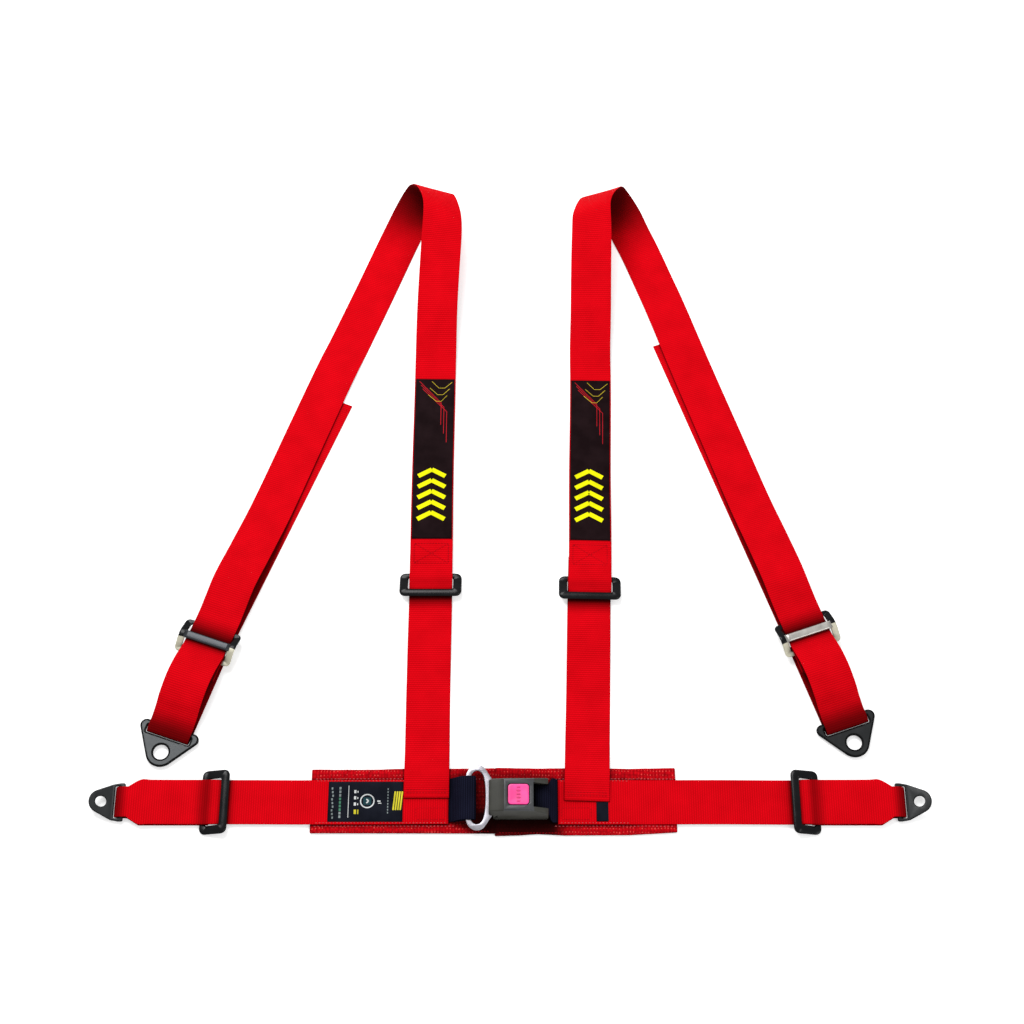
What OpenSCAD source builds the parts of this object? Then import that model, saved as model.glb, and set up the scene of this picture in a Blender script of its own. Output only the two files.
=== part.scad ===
// Four-point racing harness lying flat: +Z up, origin on the floor under the middle of its box.
// The lap belt runs along X at the low Y end and the shoulder straps run towards +Y. Millimetres.

/* [Webbing] */
// Width of the red webbing
strap_w = 50; // [48:1:51]
// Thickness of the webbing
strap_t = 1.4; // [1.2:0.1:1.4]
// Width of the short black webbing
black_w = 49; // [46:1:50]

/* [Lap belt] */
// Distance of the lap strap's middle line in front of the origin
lap_y = 382.5; // [382:0.5:383]
// Thickness of the lap pads
pad_t = 4; // [3:0.5:4]
// Distance of each lap slide from the middle
lap_slide_x = 325; // [320:1:330]
// Distance of each lap anchor hole from the middle
lap_hole_x = 449.5; // [446:0.5:455]

/* [Anchors] */
// Radius of the bolt hole in a lap anchor
lap_bore_r = 6; // [5:0.1:6.4]
// Radius of the bolt hole in a rear anchor
rear_bore_r = 8.5; // [6:0.1:9]
// Thickness of the anchor plates
anchor_t = 3; // [2.5:0.1:3]
// Upward bend of the lap anchor's tab in degrees
tab_bend = 20; // [10:1:25]

/* [Slides] */
// Width of the lap and shoulder slides across the strap
slide_w = 72; // [70:1:74]
// Length of the lap and shoulder slides along the strap
slide_l = 31; // [30:1:33]
// Width of the rear slides across the strap
rear_slide_w = 68; // [66:1:72]
// Length of the rear slides along the strap
rear_slide_l = 40; // [38:1:42]

/* [Buckle] */
// Width of the buckle housing
buckle_w = 45; // [45:1:48]
// Height of the housing's top face above the floor
buckle_top = 28; // [28:0.5:30]
// Side of the square push button
button_w = 23.6; // [22:0.2:23.6]

/* [Hidden] */
$fn = 48;

LEFT = 0;
RIGHT = 1;
eps = 0.01;

// Heights of the layers at a slide: returning layer, far bar, fixed strap, moving strap, near bar.
low_z = 0.8;
far_bar_z = [1.7, 3.7];
fixed_z = 4.7;
moving_z = 6.4;
near_bar_z = [7.4, 10.8];
// Height of the lap strap's middle where it lies on the black webbing, and of the straps on it.
raised_z = pad_t + 1.5 * strap_t + 0.25;
stacked_z = raised_z + strap_t;
label_t = 0.4;

// Middle of each shoulder slide, and its turn about Z.
SHOULDER_SLIDE = [[-92.5, -124, 0], [92.3, -128, -1.3]];
// Middle of each rear slide, and the direction of its strap.
REAR_SLIDE = [[-345, -197.5, -19], [340, -186.5, 19]];
// How high the rear slides hang in their straps, and the distance from one to its anchor's bar.
rear_lift = 8;
rear_loop_l = 107;
// Middle of each rear tail's free end.
REAR_TAIL_END = [[-216, 123.2], [200.4, 206.5]];
// Reach and rise of the webbing's middle from the axis of an anchor's bar.
lap_turn = [7.4, 3.7];
rear_turn = [10, 4.1];
lap_bar = [4.5, anchor_t];
rear_bar = [5.5, anchor_t];
rear_hole_gap = 28.2;
// Along a lap anchor from its bar: bend, then from the bend to the hole.
lap_bend_u = 11;
lap_tab_u = 12.5;

// Route of each shoulder strap: x, y, z, turn of the width about Z, tilt of the width.
SHOULDER_ROUTE = [
    [
        [-92.5, -137, 6.4, 0, 0], [-92.5, -66, 6.4, 0, 0], [-92.5, -50, 6.4, 0, 0],
        [-92.5, -36, 6.4, 0, 0], [-92.5, 20, 3.5, 0, 0], [-92.5, 90, 2.5, 0, 0],
        [-92.2, 149, 5, 0, 0], [-91.5, 190, 12, 0, 0], [-90, 242, 28, -1, 4],
        [-86.8, 312, 45, -4, -2], [-85, 349.4, 54.5, -6, -18], [-87, 377, 54.5, -7.5, -24],
        [-96.5, 405.8, 41.6, -8, -14.5], [-106, 413, 19.7, -12, -5], [-119.9, 402.8, 5.2, -18, -3],
        [-132.8, 374.7, 1.6, -20.6, -1], [-147, 339, 0.9, -20.6, 0],
        [-174.5, 266, 0.9, -20.6, 0], [-199.5, 200, 1, -20.6, 0],
        [-214, 162, 2.8, -20.6, 0], [-247.5, 72, 3, -20.2, 0], [-282, -25, 4.5, -20, 0],
        [-303, -82, 12, -19.5, 0], [-318, -122, 18.5, -19, 0], [-327.5, -149, 15.5, -19, 0],
        [-334.5, -169, 12.9, -19, 0], [-345.7, -200, 12.7, -19, 0], [-358.5, -237, 12.7, -19, 0]
    ],
    [
        [92, -141, 6.4, -1.3, 0], [93.7, -68, 6.4, -1.3, 0], [94, -54, 6.4, -1.3, 0],
        [94.3, -40, 6.4, -1.3, 0], [95.5, 20, 3.5, -1.2, 0], [97, 90, 2.5, -1, 0],
        [98, 147, 5, -0.5, 0], [98.3, 188, 12, 0, 0], [99.8, 236, 26, 0, 0],
        [100.7, 302.6, 42, 2, 7], [101.3, 341, 54, 7, 16], [102.1, 370.3, 56.2, 13, 21],
        [115, 406.1, 34.2, 10, 11.5], [126.2, 408.8, 13.6, 11.5, 6], [143.1, 389.9, 4, 16, 1.5],
        [152.8, 364.2, 2.4, 18, 2], [163.5, 340, 0.9, 18.5, 0],
        [181, 290, 1, 18.5, 0], [196, 246, 2.8, 18.5, 0],
        [247, 93, 3, 18.5, 0], [280, -6, 4.5, 18.6, 0], [300, -66, 12, 18.8, 0],
        [314, -111, 18.5, 19, 0], [323, -138, 15.5, 19, 0], [330, -158, 12.9, 19, 0],
        [341.3, -190, 12.7, 19, 0], [354, -227, 12.7, 19, 0]
    ]
];
// Span in Y of the long label on each shoulder strap.
SHOULDER_LABEL_Y = [[-66, 149], [-68, 147]];

// Route of each lower shoulder strap, from its sewn end up to beyond the slide.
LOWER_ROUTE = [
    [
        [-92.5, -378.6, stacked_z, 0, 0], [-92.5, -356, stacked_z, 0, 0], [-92.5, -343, 6.2, 0, 0],
        [-92.5, -316, 1.6, 0, 0], [-92.5, -290, 0.9, 0, 0], [-92.5, -245, 0.9, 0, 0],
        [-92.5, -225, 1.6, 0, 0], [-92.5, -200, 4.4, 0, 0], [-92.5, -191, 4.7, 0, 0],
        [-92.5, -181, 4.7, 0, 0], [-92.5, -168, 4.7, 0, 0],
        [-92.5, -148, 4.7, 0, 0], [-92.5, -117, 4.7, 0, 0], [-92.5, -85, 4.7, 0, 0]
    ],
    [
        [84.5, -382, stacked_z, -1.5, 0], [85.2, -356, stacked_z, -1.5, 0], [85.6, -340, 6.2, -1.5, 0],
        [86.3, -314, 1.6, -1.5, 0], [87, -290, 0.9, -1.5, 0], [88.3, -249, 0.9, -1.5, 0],
        [88.9, -229, 1.6, -1.5, 0], [89.6, -204, 4.4, -1.4, 0], [89.9, -195, 4.7, -1.4, 0],
        [90.2, -185, 4.7, -1.3, 0], [90.6, -171, 4.7, -1.3, 0],
        [91.2, -150, 4.7, -1.3, 0], [92.1, -118, 4.7, -1.3, 0], [92.9, -89, 4.7, -1.3, 0]
    ]
];

buckle_y = -380;
// Ends of the buckle housing, the start of its lower part under the nose, and the covers' joint.
buckle_x = [-23.4, 41.7];
nose_x = -18.5;
nose_z = 17;
buckle_bottom = pad_t + 0.3;
split_z = 13;
shoulder_z = 12;
cover_t = 2;
panel_x = [-7, 26];
button_x = 9.1;
button_gap = 0.4;
blade_z = [13.8, 16.3];
frame_x = [-15.5, 36];
frame_z = [11, 13.4];
frame_top = 21.3;
frame_half_w = 17;
pivot = [8, 19.3];
pawl_x = [-0.5, 19];
post_x = 18;
pawl_half_w = 8;
pawl_pin_r = 1.5;
spring_wire_r = 0.35;
tongue_tip_x = 8;
ejector_x = [8.4, 12.4];
ejector_stop_x = 19.5;

// Straps along X: black webbing at the tongue and at the buckle, x and z.
TONGUE_WEB = [
    [-114, 4.8], [-80, 4.8], [-69.5, 4.85], [-65.5, 5.8], [-59, 12], [-52, 16.8],
    [-42.2, 17.4], [-39.3, 16.9], [-38, 15.05], [-39.3, 13.1], [-42.2, 12.5], [-51, 11.2],
    [-56.5, 8.1], [-60.5, 5.6], [-63, 5]
];
BUCKLE_WEB = [
    [114, 4.8], [70, 4.8], [54.5, 4.85], [51, 5.8], [46, 9], [41, 12.2], [36, 14.3], [30, 14.5],
    [26.6, 13.9], [25.7, 12.2], [26.6, 10.5], [30, 9.9], [36, 9.5], [41, 8.8], [45, 6.6],
    [47.5, 5.2], [49, 4.9]
];
// Half width of the black webbing inside the buckle, and where it is full width again.
buckle_web_half = 16;
buckle_web_flare = [42, 50];

RED = [0.8, 0.03, 0.07];
PAD_RED = [0.7, 0.03, 0.06];
NAVY = [0.11, 0.12, 0.2];
BLACK = [0.1, 0.1, 0.1];
GREY = [0.3, 0.3, 0.3];
STEEL = [0.75, 0.75, 0.78];
PINK = [0.98, 0.25, 0.58];

function unit(v) = v / norm(v);
function mix(a, b, t) = a + (b - a) * t;

// A smooth curve through the points p, between p[i] and p[i + 1].
function curve_point(p, i, t) =
    let (
        a = p[max(i - 1, 0)],
        b = p[i],
        c = p[i + 1],
        d = p[min(i + 2, len(p) - 1)]
    )
    b + (c - a) * t / 2 + (2 * a - 5 * b + 4 * c - d) * t * t / 2
    + (3 * b - a - 3 * c + d) * t * t * t / 2;

function smooth_route(p, steps) = concat(
    [for (i = [0:len(p) - 2]) for (k = [0:steps - 1]) curve_point(p, i, k / steps)],
    [p[len(p) - 1]]
);

function place(r) = [r[0], r[1], r[2]];

// A ring is the strap's middle, the direction of its width, its face's normal and its width.
function strap_rings(route, width) = [
    for (i = [0:len(route) - 1])
        let (
            r = route[i],
            along = unit(place(route[min(i + 1, len(route) - 1)]) - place(route[max(i - 1, 0)])),
            across = [cos(r[3]) * cos(r[4]), sin(r[3]) * cos(r[4]), sin(r[4])],
            w = unit(across - along * (across * along))
        )
        [place(r), w, cross(w, along), is_undef(r[5]) ? width : r[5]]
];

// Sweeps a flat section of thickness t along rings, lifted off their middle.
module strap(rings, t = strap_t, lift = 0) {
    n = len(rings);
    corners = [[1, 1], [-1, 1], [-1, -1], [1, -1]];
    points = [
        for (r = rings) for (c = corners)
            r[0] + r[1] * c[0] * r[3] / 2 + r[2] * (lift + c[1] * t / 2)
    ];
    sides = [
        for (i = [0:n - 2]) for (k = [0:3])
            let (m = (k + 1) % 4, a = 4 * i + k, b = 4 * i + m)
            each [[b, b + 4, a + 4], [b, a + 4, a]]
    ];
    polyhedron(points, concat([[3, 2, 1, 0]], sides, [[for (k = [0:3]) 4 * n - 4 + k]]), convexity = 6);
}

module rounded_square(size, r) {
    square([size.x - 2 * r, size.y], center = true);
    square([size.x, size.y - 2 * r], center = true);
    for (x = [-1, 1], y = [-1, 1])
        translate([x * (size.x / 2 - r), y * (size.y / 2 - r)]) circle(r);
}

// Extrudes an outline drawn as [y, z] along X, from x0 to x1.
module along_x(x0, x1) {
    translate([x0, 0, 0]) rotate([90, 0, 90]) linear_extrude(x1 - x0) children();
}

// A close coil along Z, swept as one wire.
module coil(r, length, turns) {
    seg = 12;
    n = turns * seg;
    middle = function(i) [r * cos(360 * i / seg), r * sin(360 * i / seg), length * i / n];
    sides = 6;
    points = [
        for (i = [0:n]) for (k = [0:sides - 1])
            let (out = [cos(360 * i / seg), sin(360 * i / seg), 0], a = 360 * k / sides)
            middle(i) + spring_wire_r * (out * cos(a) + [0, 0, 1] * sin(a))
    ];
    faces = [
        for (i = [0:n - 1]) for (k = [0:sides - 1])
            let (m = (k + 1) % sides)
            [sides * i + k, sides * i + sides + k, sides * i + sides + m, sides * i + m]
    ];
    polyhedron(points, concat(
        [[for (k = [0:sides - 1]) k]], faces, [[for (k = [sides - 1:-1:0]) sides * n + k]]
    ), convexity = 8);
}

// ---- Buckle ----

// Section of the housing across X, shrunk by inset on every side.
module housing_section(inset) {
    half = buckle_w / 2 - inset;
    top_half = half - 4.6;
    polygon([
        [-half, buckle_bottom + inset], [half, buckle_bottom + inset], [half, shoulder_z],
        [top_half, buckle_top - inset], [-top_half, buckle_top - inset], [-half, shoulder_z]
    ]);
}

module housing_shell() {
    difference() {
        along_x(buckle_x[0], buckle_x[1]) housing_section(0);
        along_x(nose_x + cover_t, buckle_x[1] - cover_t) housing_section(cover_t);
        // Space under the nose, and the mouth for the tongue
        translate([buckle_x[0] - 1, -30, 0]) cube([nose_x - buckle_x[0] + 1, 60, nose_z]);
        translate([nose_x - 1, -14, blade_z[0] - 0.8]) cube([5, 28, blade_z[1] - blade_z[0] + 1.5]);
        // Way out for the black webbing
        translate([30, -buckle_web_half - 1, 7]) cube([15, 2 * buckle_web_half + 2, 13]);
    }
}

module buckle_bottom_cover() {
    color(BLACK) translate([0, buckle_y, 0]) intersection() {
        housing_shell();
        translate([-50, -50, 0]) cube([100, 100, split_z]);
    }
}

module buckle_top_cover() {
    hole = button_w + 2 * button_gap;
    color(BLACK) translate([0, buckle_y, 0]) difference() {
        housing_shell();
        translate([-50, -50, 0]) cube([100, 100, split_z]);
        translate([button_x, 0, buckle_top - 4]) linear_extrude(8) rounded_square([hole, hole], 4);
        // Slope from the raised panel down to the mouth
        translate([panel_x[0], 0, buckle_top - 1]) rotate([0, -14, 0]) translate([-40, -40, 0])
            cube([40, 80, 20]);
        // Slope over the web end and the opening between its cheeks
        translate([panel_x[1], 0, buckle_top - 0.5]) rotate([0, 24, 0]) translate([0, -40, 0])
            cube([40, 80, 20]);
        translate([panel_x[1] - 1, -13.5, split_z - 1]) cube([30, 27, 30]);
    }
    color(BLACK) translate([0, buckle_y, 0]) slope_skins();
}

// The sloped faces keep a skin under them, with the webbing opening left free.
module slope_skins() {
    intersection() {
        along_x(buckle_x[0], panel_x[0] + 1) housing_section(0.02);
        translate([panel_x[0], 0, buckle_top - 1]) rotate([0, -14, 0]) translate([-40, -40, -cover_t])
            cube([41, 80, cover_t - eps]);
        translate([-50, -50, split_z]) cube([100, 100, 40]);
    }
    difference() {
        intersection() {
            along_x(panel_x[1] - 1, buckle_x[1]) housing_section(0.02);
            translate([panel_x[1], 0, buckle_top - 0.5]) rotate([0, 24, 0])
                translate([-1, -40, -cover_t]) cube([40, 80, cover_t - eps]);
            translate([-50, -50, split_z]) cube([100, 100, 40]);
        }
        translate([panel_x[1] - 1, -13.5, split_z - 1]) cube([30, 27, 30]);
    }
}

module buckle_frame() {
    color(STEEL) translate([0, buckle_y, 0]) difference() {
        union() {
            translate([frame_x[0], -19, frame_z[0]])
                cube([frame_x[1] - frame_x[0], 38, frame_z[1] - frame_z[0]]);
            for (s = [-1, 1])
                translate([frame_x[0], s > 0 ? frame_half_w - 2.2 : -frame_half_w, frame_z[1] - eps])
                    cube([36, 2.2, frame_top - frame_z[1]]);
            translate([ejector_stop_x, -frame_half_w, frame_z[1] - eps]) cube([1.5, 2 * frame_half_w, 4]);
        }
        // Slot for the webbing, behind the bar that it wraps
        translate([22.4, -17, frame_z[0] - 1]) cube([6.4, 34, 5]);
        translate([pivot[0], -30, pivot[1]]) rotate([-90, 0, 0]) cylinder(r = pawl_pin_r + 0.06, h = 60);
        for (x = [-11, 17], y = [-1, 1])
            translate([x, y * 11.5, frame_z[0] - 1]) cylinder(r = 1.6, h = 5);
    }
}

module buckle_rivets() {
    floor_z = buckle_bottom + cover_t;
    color(STEEL) translate([0, buckle_y, 0]) for (x = [-11, 17], y = [-1, 1])
        translate([x, y * 11.5, floor_z]) cylinder(r = 1.5, h = frame_z[1] - 0.1 - floor_z);
}

module release_button() {
    foot_z = buckle_top - 4;
    roof_z = buckle_top - 1.8;
    color(PINK) translate([button_x, buckle_y, 0]) {
        difference() {
            union() {
                translate([0, 0, foot_z]) linear_extrude(buckle_top + 1 - foot_z)
                    rounded_square([button_w, button_w], 3.6);
                translate([0, 0, foot_z]) linear_extrude(1.7)
                    rounded_square([button_w + 3, button_w + 3], 4);
            }
            translate([-10.3, -9.5, foot_z - 1]) cube([20.6, 19, roof_z - foot_z + 1]);
        }
        // Post that pushes the pawl's tail
        translate([post_x - button_x, 0, pivot[1] + 1.5])
            cylinder(r = 1.2, h = roof_z + eps - pivot[1] - 1.5);
    }
}

module button_spring() {
    // It stands on the pawl and presses the button up.
    foot_z = pivot[1] + 1 + spring_wire_r;
    color(STEEL) translate([2.5, buckle_y, foot_z]) coil(1.8, buckle_top - 1.8 - spring_wire_r - foot_z, 4);
}

module latch_pawl() {
    color(GREY) translate([0, buckle_y, 0]) {
        translate([pivot[0], -frame_half_w + 0.1, pivot[1]]) rotate([-90, 0, 0])
            cylinder(r = pawl_pin_r, h = 2 * frame_half_w - 0.2);
        translate([pawl_x[0], -pawl_half_w, pivot[1] - 1])
            cube([pawl_x[1] - pawl_x[0], 2 * pawl_half_w, 2]);
        translate([pawl_x[0], -5, blade_z[1] + 0.3]) cube([2.2, 10, pivot[1] - blade_z[1] - 1]);
    }
}

module ejector() {
    color(GREY) translate([ejector_x[0], buckle_y - 14, blade_z[0] - 0.1])
        cube([ejector_x[1] - ejector_x[0], 28, 2.6]);
}

module ejector_springs() {
    length = ejector_stop_x - ejector_x[1];
    color(STEEL) for (s = [-1, 1])
        translate([ejector_x[1] + spring_wire_r, buckle_y + s * 11, 15.4]) rotate([0, 90, 0])
            coil(1.1, length - 2 * spring_wire_r, 5);
}

module tongue_plate() {
    outline = [
        [-49.6, 20], [-48.4, 27], [-45, 32.5], [-40, 35.8], [-35, 36.5], [-30.5, 35], [-27, 31.5],
        [nose_x - 1, 20.5], [nose_x - 1, 13], [tongue_tip_x - 3, 13], [tongue_tip_x, 10]
    ];
    slot = [[-43, 22], [-41.5, 27], [-38, 29.8], [-33, 29.2], [-29.5, 24], [-27.5, 14], [-27, 0]];
    function both(p) = concat(p, [for (i = [len(p) - 1:-1:0]) [p[i].x, -p[i].y]]);
    color(STEEL) translate([0, buckle_y, blade_z[0]]) difference() {
        linear_extrude(blade_z[1] - blade_z[0]) polygon(both(outline));
        translate([0, 0, -1]) linear_extrude(5) polygon(both(slot));
        // Window that the pawl's hook drops into
        translate([-2, -6, -1]) cube([5, 12, 5]);
    }
}

// ---- Black webbing, tab and labels ----

module tongue_web_loop() {
    route = [for (p = TONGUE_WEB) [p.x, -380.5, p.y, -90, 0]];
    color(NAVY) strap(strap_rings(smooth_route(route, 3), black_w));
}

module buckle_web_loop() {
    f = buckle_web_flare;
    route = [
        for (p = BUCKLE_WEB)
            let (flare = min(max((p.x - f[0]) / (f[1] - f[0]), 0), 1))
            [p.x, -381, p.y, 90, 0, 2 * mix(buckle_web_half, black_w / 2, flare)]
    ];
    color(NAVY) strap(strap_rings(smooth_route(route, 3), black_w));
}

module strap_tab() {
    color(BLACK) translate([94.7, -404.5, raised_z + strap_t / 2]) cube([13, 21.4, 0.6]);
}

module care_label() {
    color(NAVY) translate([-200, -lap_y - 22.5, raised_z + strap_t / 2]) cube([82, 45, label_t]);
}

module shoulder_label(side) {
    span = SHOULDER_LABEL_Y[side];
    rings = strap_rings(smooth_route(SHOULDER_ROUTE[side], 6), strap_w - 3);
    on_front = [for (r = rings) if (r[0].y > span[0] - 1 && r[0].y < span[1] + 1 && abs(r[0].x) < 110) r];
    color(BLACK) strap(on_front, label_t, (strap_t + label_t) / 2);
}

module left_shoulder_label() shoulder_label(LEFT);
module right_shoulder_label() shoulder_label(RIGHT);

// ---- Pads ----

module left_pad() {
    color(PAD_RED) linear_extrude(pad_t)
        polygon([[-220, -344.2], [-219.5, -417], [-17, -417.4], [-17, -342.7]]);
}

module right_pad() {
    color(PAD_RED) linear_extrude(pad_t)
        polygon([
            [-16.4, -342.2], [-16.4, -420.2], [10, -419.4], [30, -418], [60, -419.6], [130, -419.2],
            [183, -416], [183, -342.5]
        ]);
}

// ---- Straps ----

function flip(side) = side == LEFT ? -1 : 1;

// The lap strap starts on the black webbing and ends hidden between the layers of the end loop.
module lap_strap(side) {
    s = flip(side);
    start = side == LEFT ? 67.7 : 52.5;
    drop = side == LEFT ? 206 : 122;
    stations = [
        [start, raised_z], [drop, raised_z], [drop + 12, mix(raised_z, fixed_z, 0.5)],
        [drop + 30, fixed_z], [lap_slide_x + 40, fixed_z]
    ];
    route = [for (p = stations) [s * p.x, -lap_y, p.y, -90 * s, 0]];
    color(RED) strap(strap_rings(route, strap_w));
}

module left_lap_strap() lap_strap(LEFT);
module right_lap_strap() lap_strap(RIGHT);

module lower_strap(side) {
    color(RED) strap(strap_rings(smooth_route(LOWER_ROUTE[side], 3), strap_w));
}

module left_lower_strap() lower_strap(LEFT);
module right_lower_strap() lower_strap(RIGHT);

module shoulder_strap(side) {
    color(RED) strap(strap_rings(smooth_route(SHOULDER_ROUTE[side], 6), strap_w));
}

module left_shoulder_strap() shoulder_strap(LEFT);
module right_shoulder_strap() shoulder_strap(RIGHT);

// A strap end that leaves a slide along -Y, turns round an anchor's bar at distance length and
// comes back to lie under the slide. It is drawn along -Y with the slide's middle at the origin.
// It starts hidden under a bar at y = start, lifted from its usual height, and arches on its way.
module end_loop(start, lift, arch, length, reach, end_w) {
    bar_z = low_z + reach.y;
    top_z = moving_z + lift;
    top = [
        [start, top_z, strap_w], [-6, top_z, strap_w], [-12, top_z + arch * 0.1, strap_w],
        [-length * 0.3, top_z + arch * 0.8, strap_w],
        [-length * 0.5, top_z + arch, strap_w], [-length * 0.7, mix(top_z + arch, bar_z + reach.y, 0.3), strap_w],
        [-length + 19, mix(top_z + arch, bar_z + reach.y, 0.7), strap_w],
        [-length + 6, bar_z + reach.y + 0.2, end_w]
    ];
    turn = [
        for (i = [0:10])
            [-length - reach.x * sin(18 * i), bar_z + reach.y * cos(18 * i), end_w]
    ];
    under = [
        [-length + 6, low_z, end_w], [-length + 19, low_z, strap_w], [-length * 0.4, low_z, strap_w],
        [-6, low_z, strap_w]
    ];
    route = [for (p = concat(smooth_route(top, 3), turn, under)) [0, p[0], p[1], 180, 0, p[2]]];
    color(RED) strap(strap_rings(route, strap_w));
}

module at_lap_slide(side) {
    translate([flip(side) * lap_slide_x, -lap_y, 0]) rotate(90 * flip(side)) children();
}

module at_rear_slide(side) {
    translate([REAR_SLIDE[side].x, REAR_SLIDE[side].y, 0]) rotate(REAR_SLIDE[side].z) children();
}

lap_loop_l = lap_hole_x - lap_slide_x - lap_bend_u - lap_tab_u * cos(tab_bend);

module left_lap_end_loop() at_lap_slide(LEFT) end_loop(11, 0, 0.3, lap_loop_l, lap_turn, 34);
module right_lap_end_loop() at_lap_slide(RIGHT) end_loop(11, 0, 0.3, lap_loop_l, lap_turn, 34);
module left_rear_end_loop() at_rear_slide(LEFT) end_loop(3, rear_lift, 12, rear_loop_l, rear_turn, strap_w);
module right_rear_end_loop() at_rear_slide(RIGHT) end_loop(3, rear_lift, 12, rear_loop_l, rear_turn, strap_w);

// The tail is the free end that lies flat under the rear strap.
module rear_tail(side) {
    start = [REAR_SLIDE[side].x, REAR_SLIDE[side].y];
    reach = REAR_TAIL_END[side] - start;
    lead = 2;
    color(RED) translate([start.x, start.y, low_z - strap_t / 2]) rotate(atan2(reach.y, reach.x))
        translate([lead, -strap_w / 2, 0]) cube([norm(reach) - lead, strap_w, strap_t]);
}

module left_rear_tail() rear_tail(LEFT);
module right_rear_tail() rear_tail(RIGHT);

// ---- Slides ----

// A tilted two-bar slide: near bar above the strap at +Y, far bar below it at -Y.
module slide_frame() {
    near = near_bar_z;
    far = far_bar_z;
    half_l = slide_l / 2;
    bar_l = 9;
    intersection() {
        union() {
            translate([0, half_l - bar_l / 2, (near[0] + near[1]) / 2])
                cube([slide_w, bar_l, near[1] - near[0]], center = true);
            translate([0, 3 - half_l, (far[0] + far[1]) / 2]) cube([slide_w, 6, far[1] - far[0]], center = true);
            for (s = [-1, 1])
                translate([s * (26.2 + slide_w / 2) / 2, 0, 0])
                    along_x(-(slide_w / 2 - 26.2) / 2, (slide_w / 2 - 26.2) / 2) polygon([
                        [half_l, near[0]], [half_l, near[1]], [half_l - bar_l, near[1]],
                        [6 - half_l, far[1] + 0.8], [-half_l, far[1]], [-half_l, far[0]],
                        [8 - half_l, far[0]], [half_l - bar_l, near[0] - 0.8]
                    ]);
        }
        linear_extrude(20) rounded_square([slide_w, slide_l], 6.5);
    }
}

module left_lap_slide() color(BLACK) at_lap_slide(LEFT) slide_frame();
module right_lap_slide() color(BLACK) at_lap_slide(RIGHT) slide_frame();

module shoulder_slide(side) {
    p = SHOULDER_SLIDE[side];
    color(BLACK) translate([p.x, p.y, 0]) rotate(180 + p.z) slide_frame();
}

module left_shoulder_slide() shoulder_slide(LEFT);
module right_shoulder_slide() shoulder_slide(RIGHT);

// An arched three-bar slide: both end bars below the strap, the middle bar above it.
module rear_slide_frame() {
    near = near_bar_z;
    far = far_bar_z;
    half_l = rear_slide_l / 2;
    bar_l = 9;
    side_w = rear_slide_w / 2 - 26.2;
    intersection() {
        union() {
            translate([0, 0, (near[0] + near[1]) / 2]) cube([rear_slide_w, bar_l, near[1] - near[0]], center = true);
            for (s = [-1, 1]) {
                translate([0, s * (half_l - 2.5), (far[0] + far[1]) / 2])
                    cube([rear_slide_w, 5, far[1] - far[0]], center = true);
                translate([s * (26.2 + rear_slide_w / 2) / 2, 0, 0]) along_x(-side_w / 2, side_w / 2)
                    polygon([
                        [-half_l, far[0]], [7 - half_l, far[0]], [-bar_l / 2, near[0] - 1],
                        [bar_l / 2, near[0] - 1], [half_l - 7, far[0]], [half_l, far[0]],
                        [half_l, far[1]], [half_l - 6, far[1] + 1], [bar_l / 2, near[1]],
                        [-bar_l / 2, near[1]], [6 - half_l, far[1] + 1], [-half_l, far[1]]
                    ]);
            }
        }
        linear_extrude(20) rounded_square([rear_slide_w, rear_slide_l], 5);
    }
}

module rear_slide(side) color(BLACK) at_rear_slide(side) translate([0, 0, rear_lift]) rear_slide_frame();

module left_rear_slide() rear_slide(LEFT);
module right_rear_slide() rear_slide(RIGHT);

// ---- Anchor plates, drawn along -Y from the middle of their bar ----

// Bar with edges rounded about its own axis, which turns inside the end loop.
module anchor_bar(size, length) {
    intersection() {
        rotate([0, 90, 0]) cylinder(r = size.x / 2, h = length, center = true);
        cube([length, size.x, size.y], center = true);
    }
}

module lap_anchor() {
    half = 21.5;
    slot_half = 18;
    neck = 13.2;
    bar_half = lap_bar[0] / 2;
    slot_end = 8.8;
    anchor_bar(lap_bar, 2 * half);
    translate([0, 0, -anchor_t / 2]) linear_extrude(anchor_t) {
        for (s = [-1, 1]) polygon([
            [s * slot_half, 0], [s * half, 0], [s * half, -4], [s * 20, -lap_bend_u], [s * slot_half, -lap_bend_u]
        ]);
        polygon([[-20.4, -slot_end], [20.4, -slot_end], [20, -lap_bend_u], [-20, -lap_bend_u]]);
    }
    translate([0, -lap_bend_u, 0]) {
        translate([-20, 0, 0]) rotate([0, 90, 0]) cylinder(r = anchor_t / 2, h = 40);
        rotate([-tab_bend, 0, 0]) translate([0, 0, -anchor_t / 2]) difference() {
            linear_extrude(anchor_t) {
                polygon([[-20, 0], [20, 0], [12.6, -lap_tab_u + 3.6], [-12.6, -lap_tab_u + 3.6]]);
                polygon([[-neck + 0.6, -lap_tab_u + 3.6], [neck - 0.6, -lap_tab_u + 3.6], [0, -lap_tab_u - 4]]);
                translate([0, -lap_tab_u]) circle(neck);
            }
            translate([0, -lap_tab_u, -1]) cylinder(r = lap_bore_r, h = anchor_t + 2);
        }
    }
}

module at_lap_bar(side) {
    at_lap_slide(side) translate([0, -lap_loop_l, low_z + lap_turn.y]) children();
}

module left_lap_anchor() color(BLACK) at_lap_bar(LEFT) lap_anchor();
module right_lap_anchor() color(BLACK) at_lap_bar(RIGHT) lap_anchor();

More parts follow.
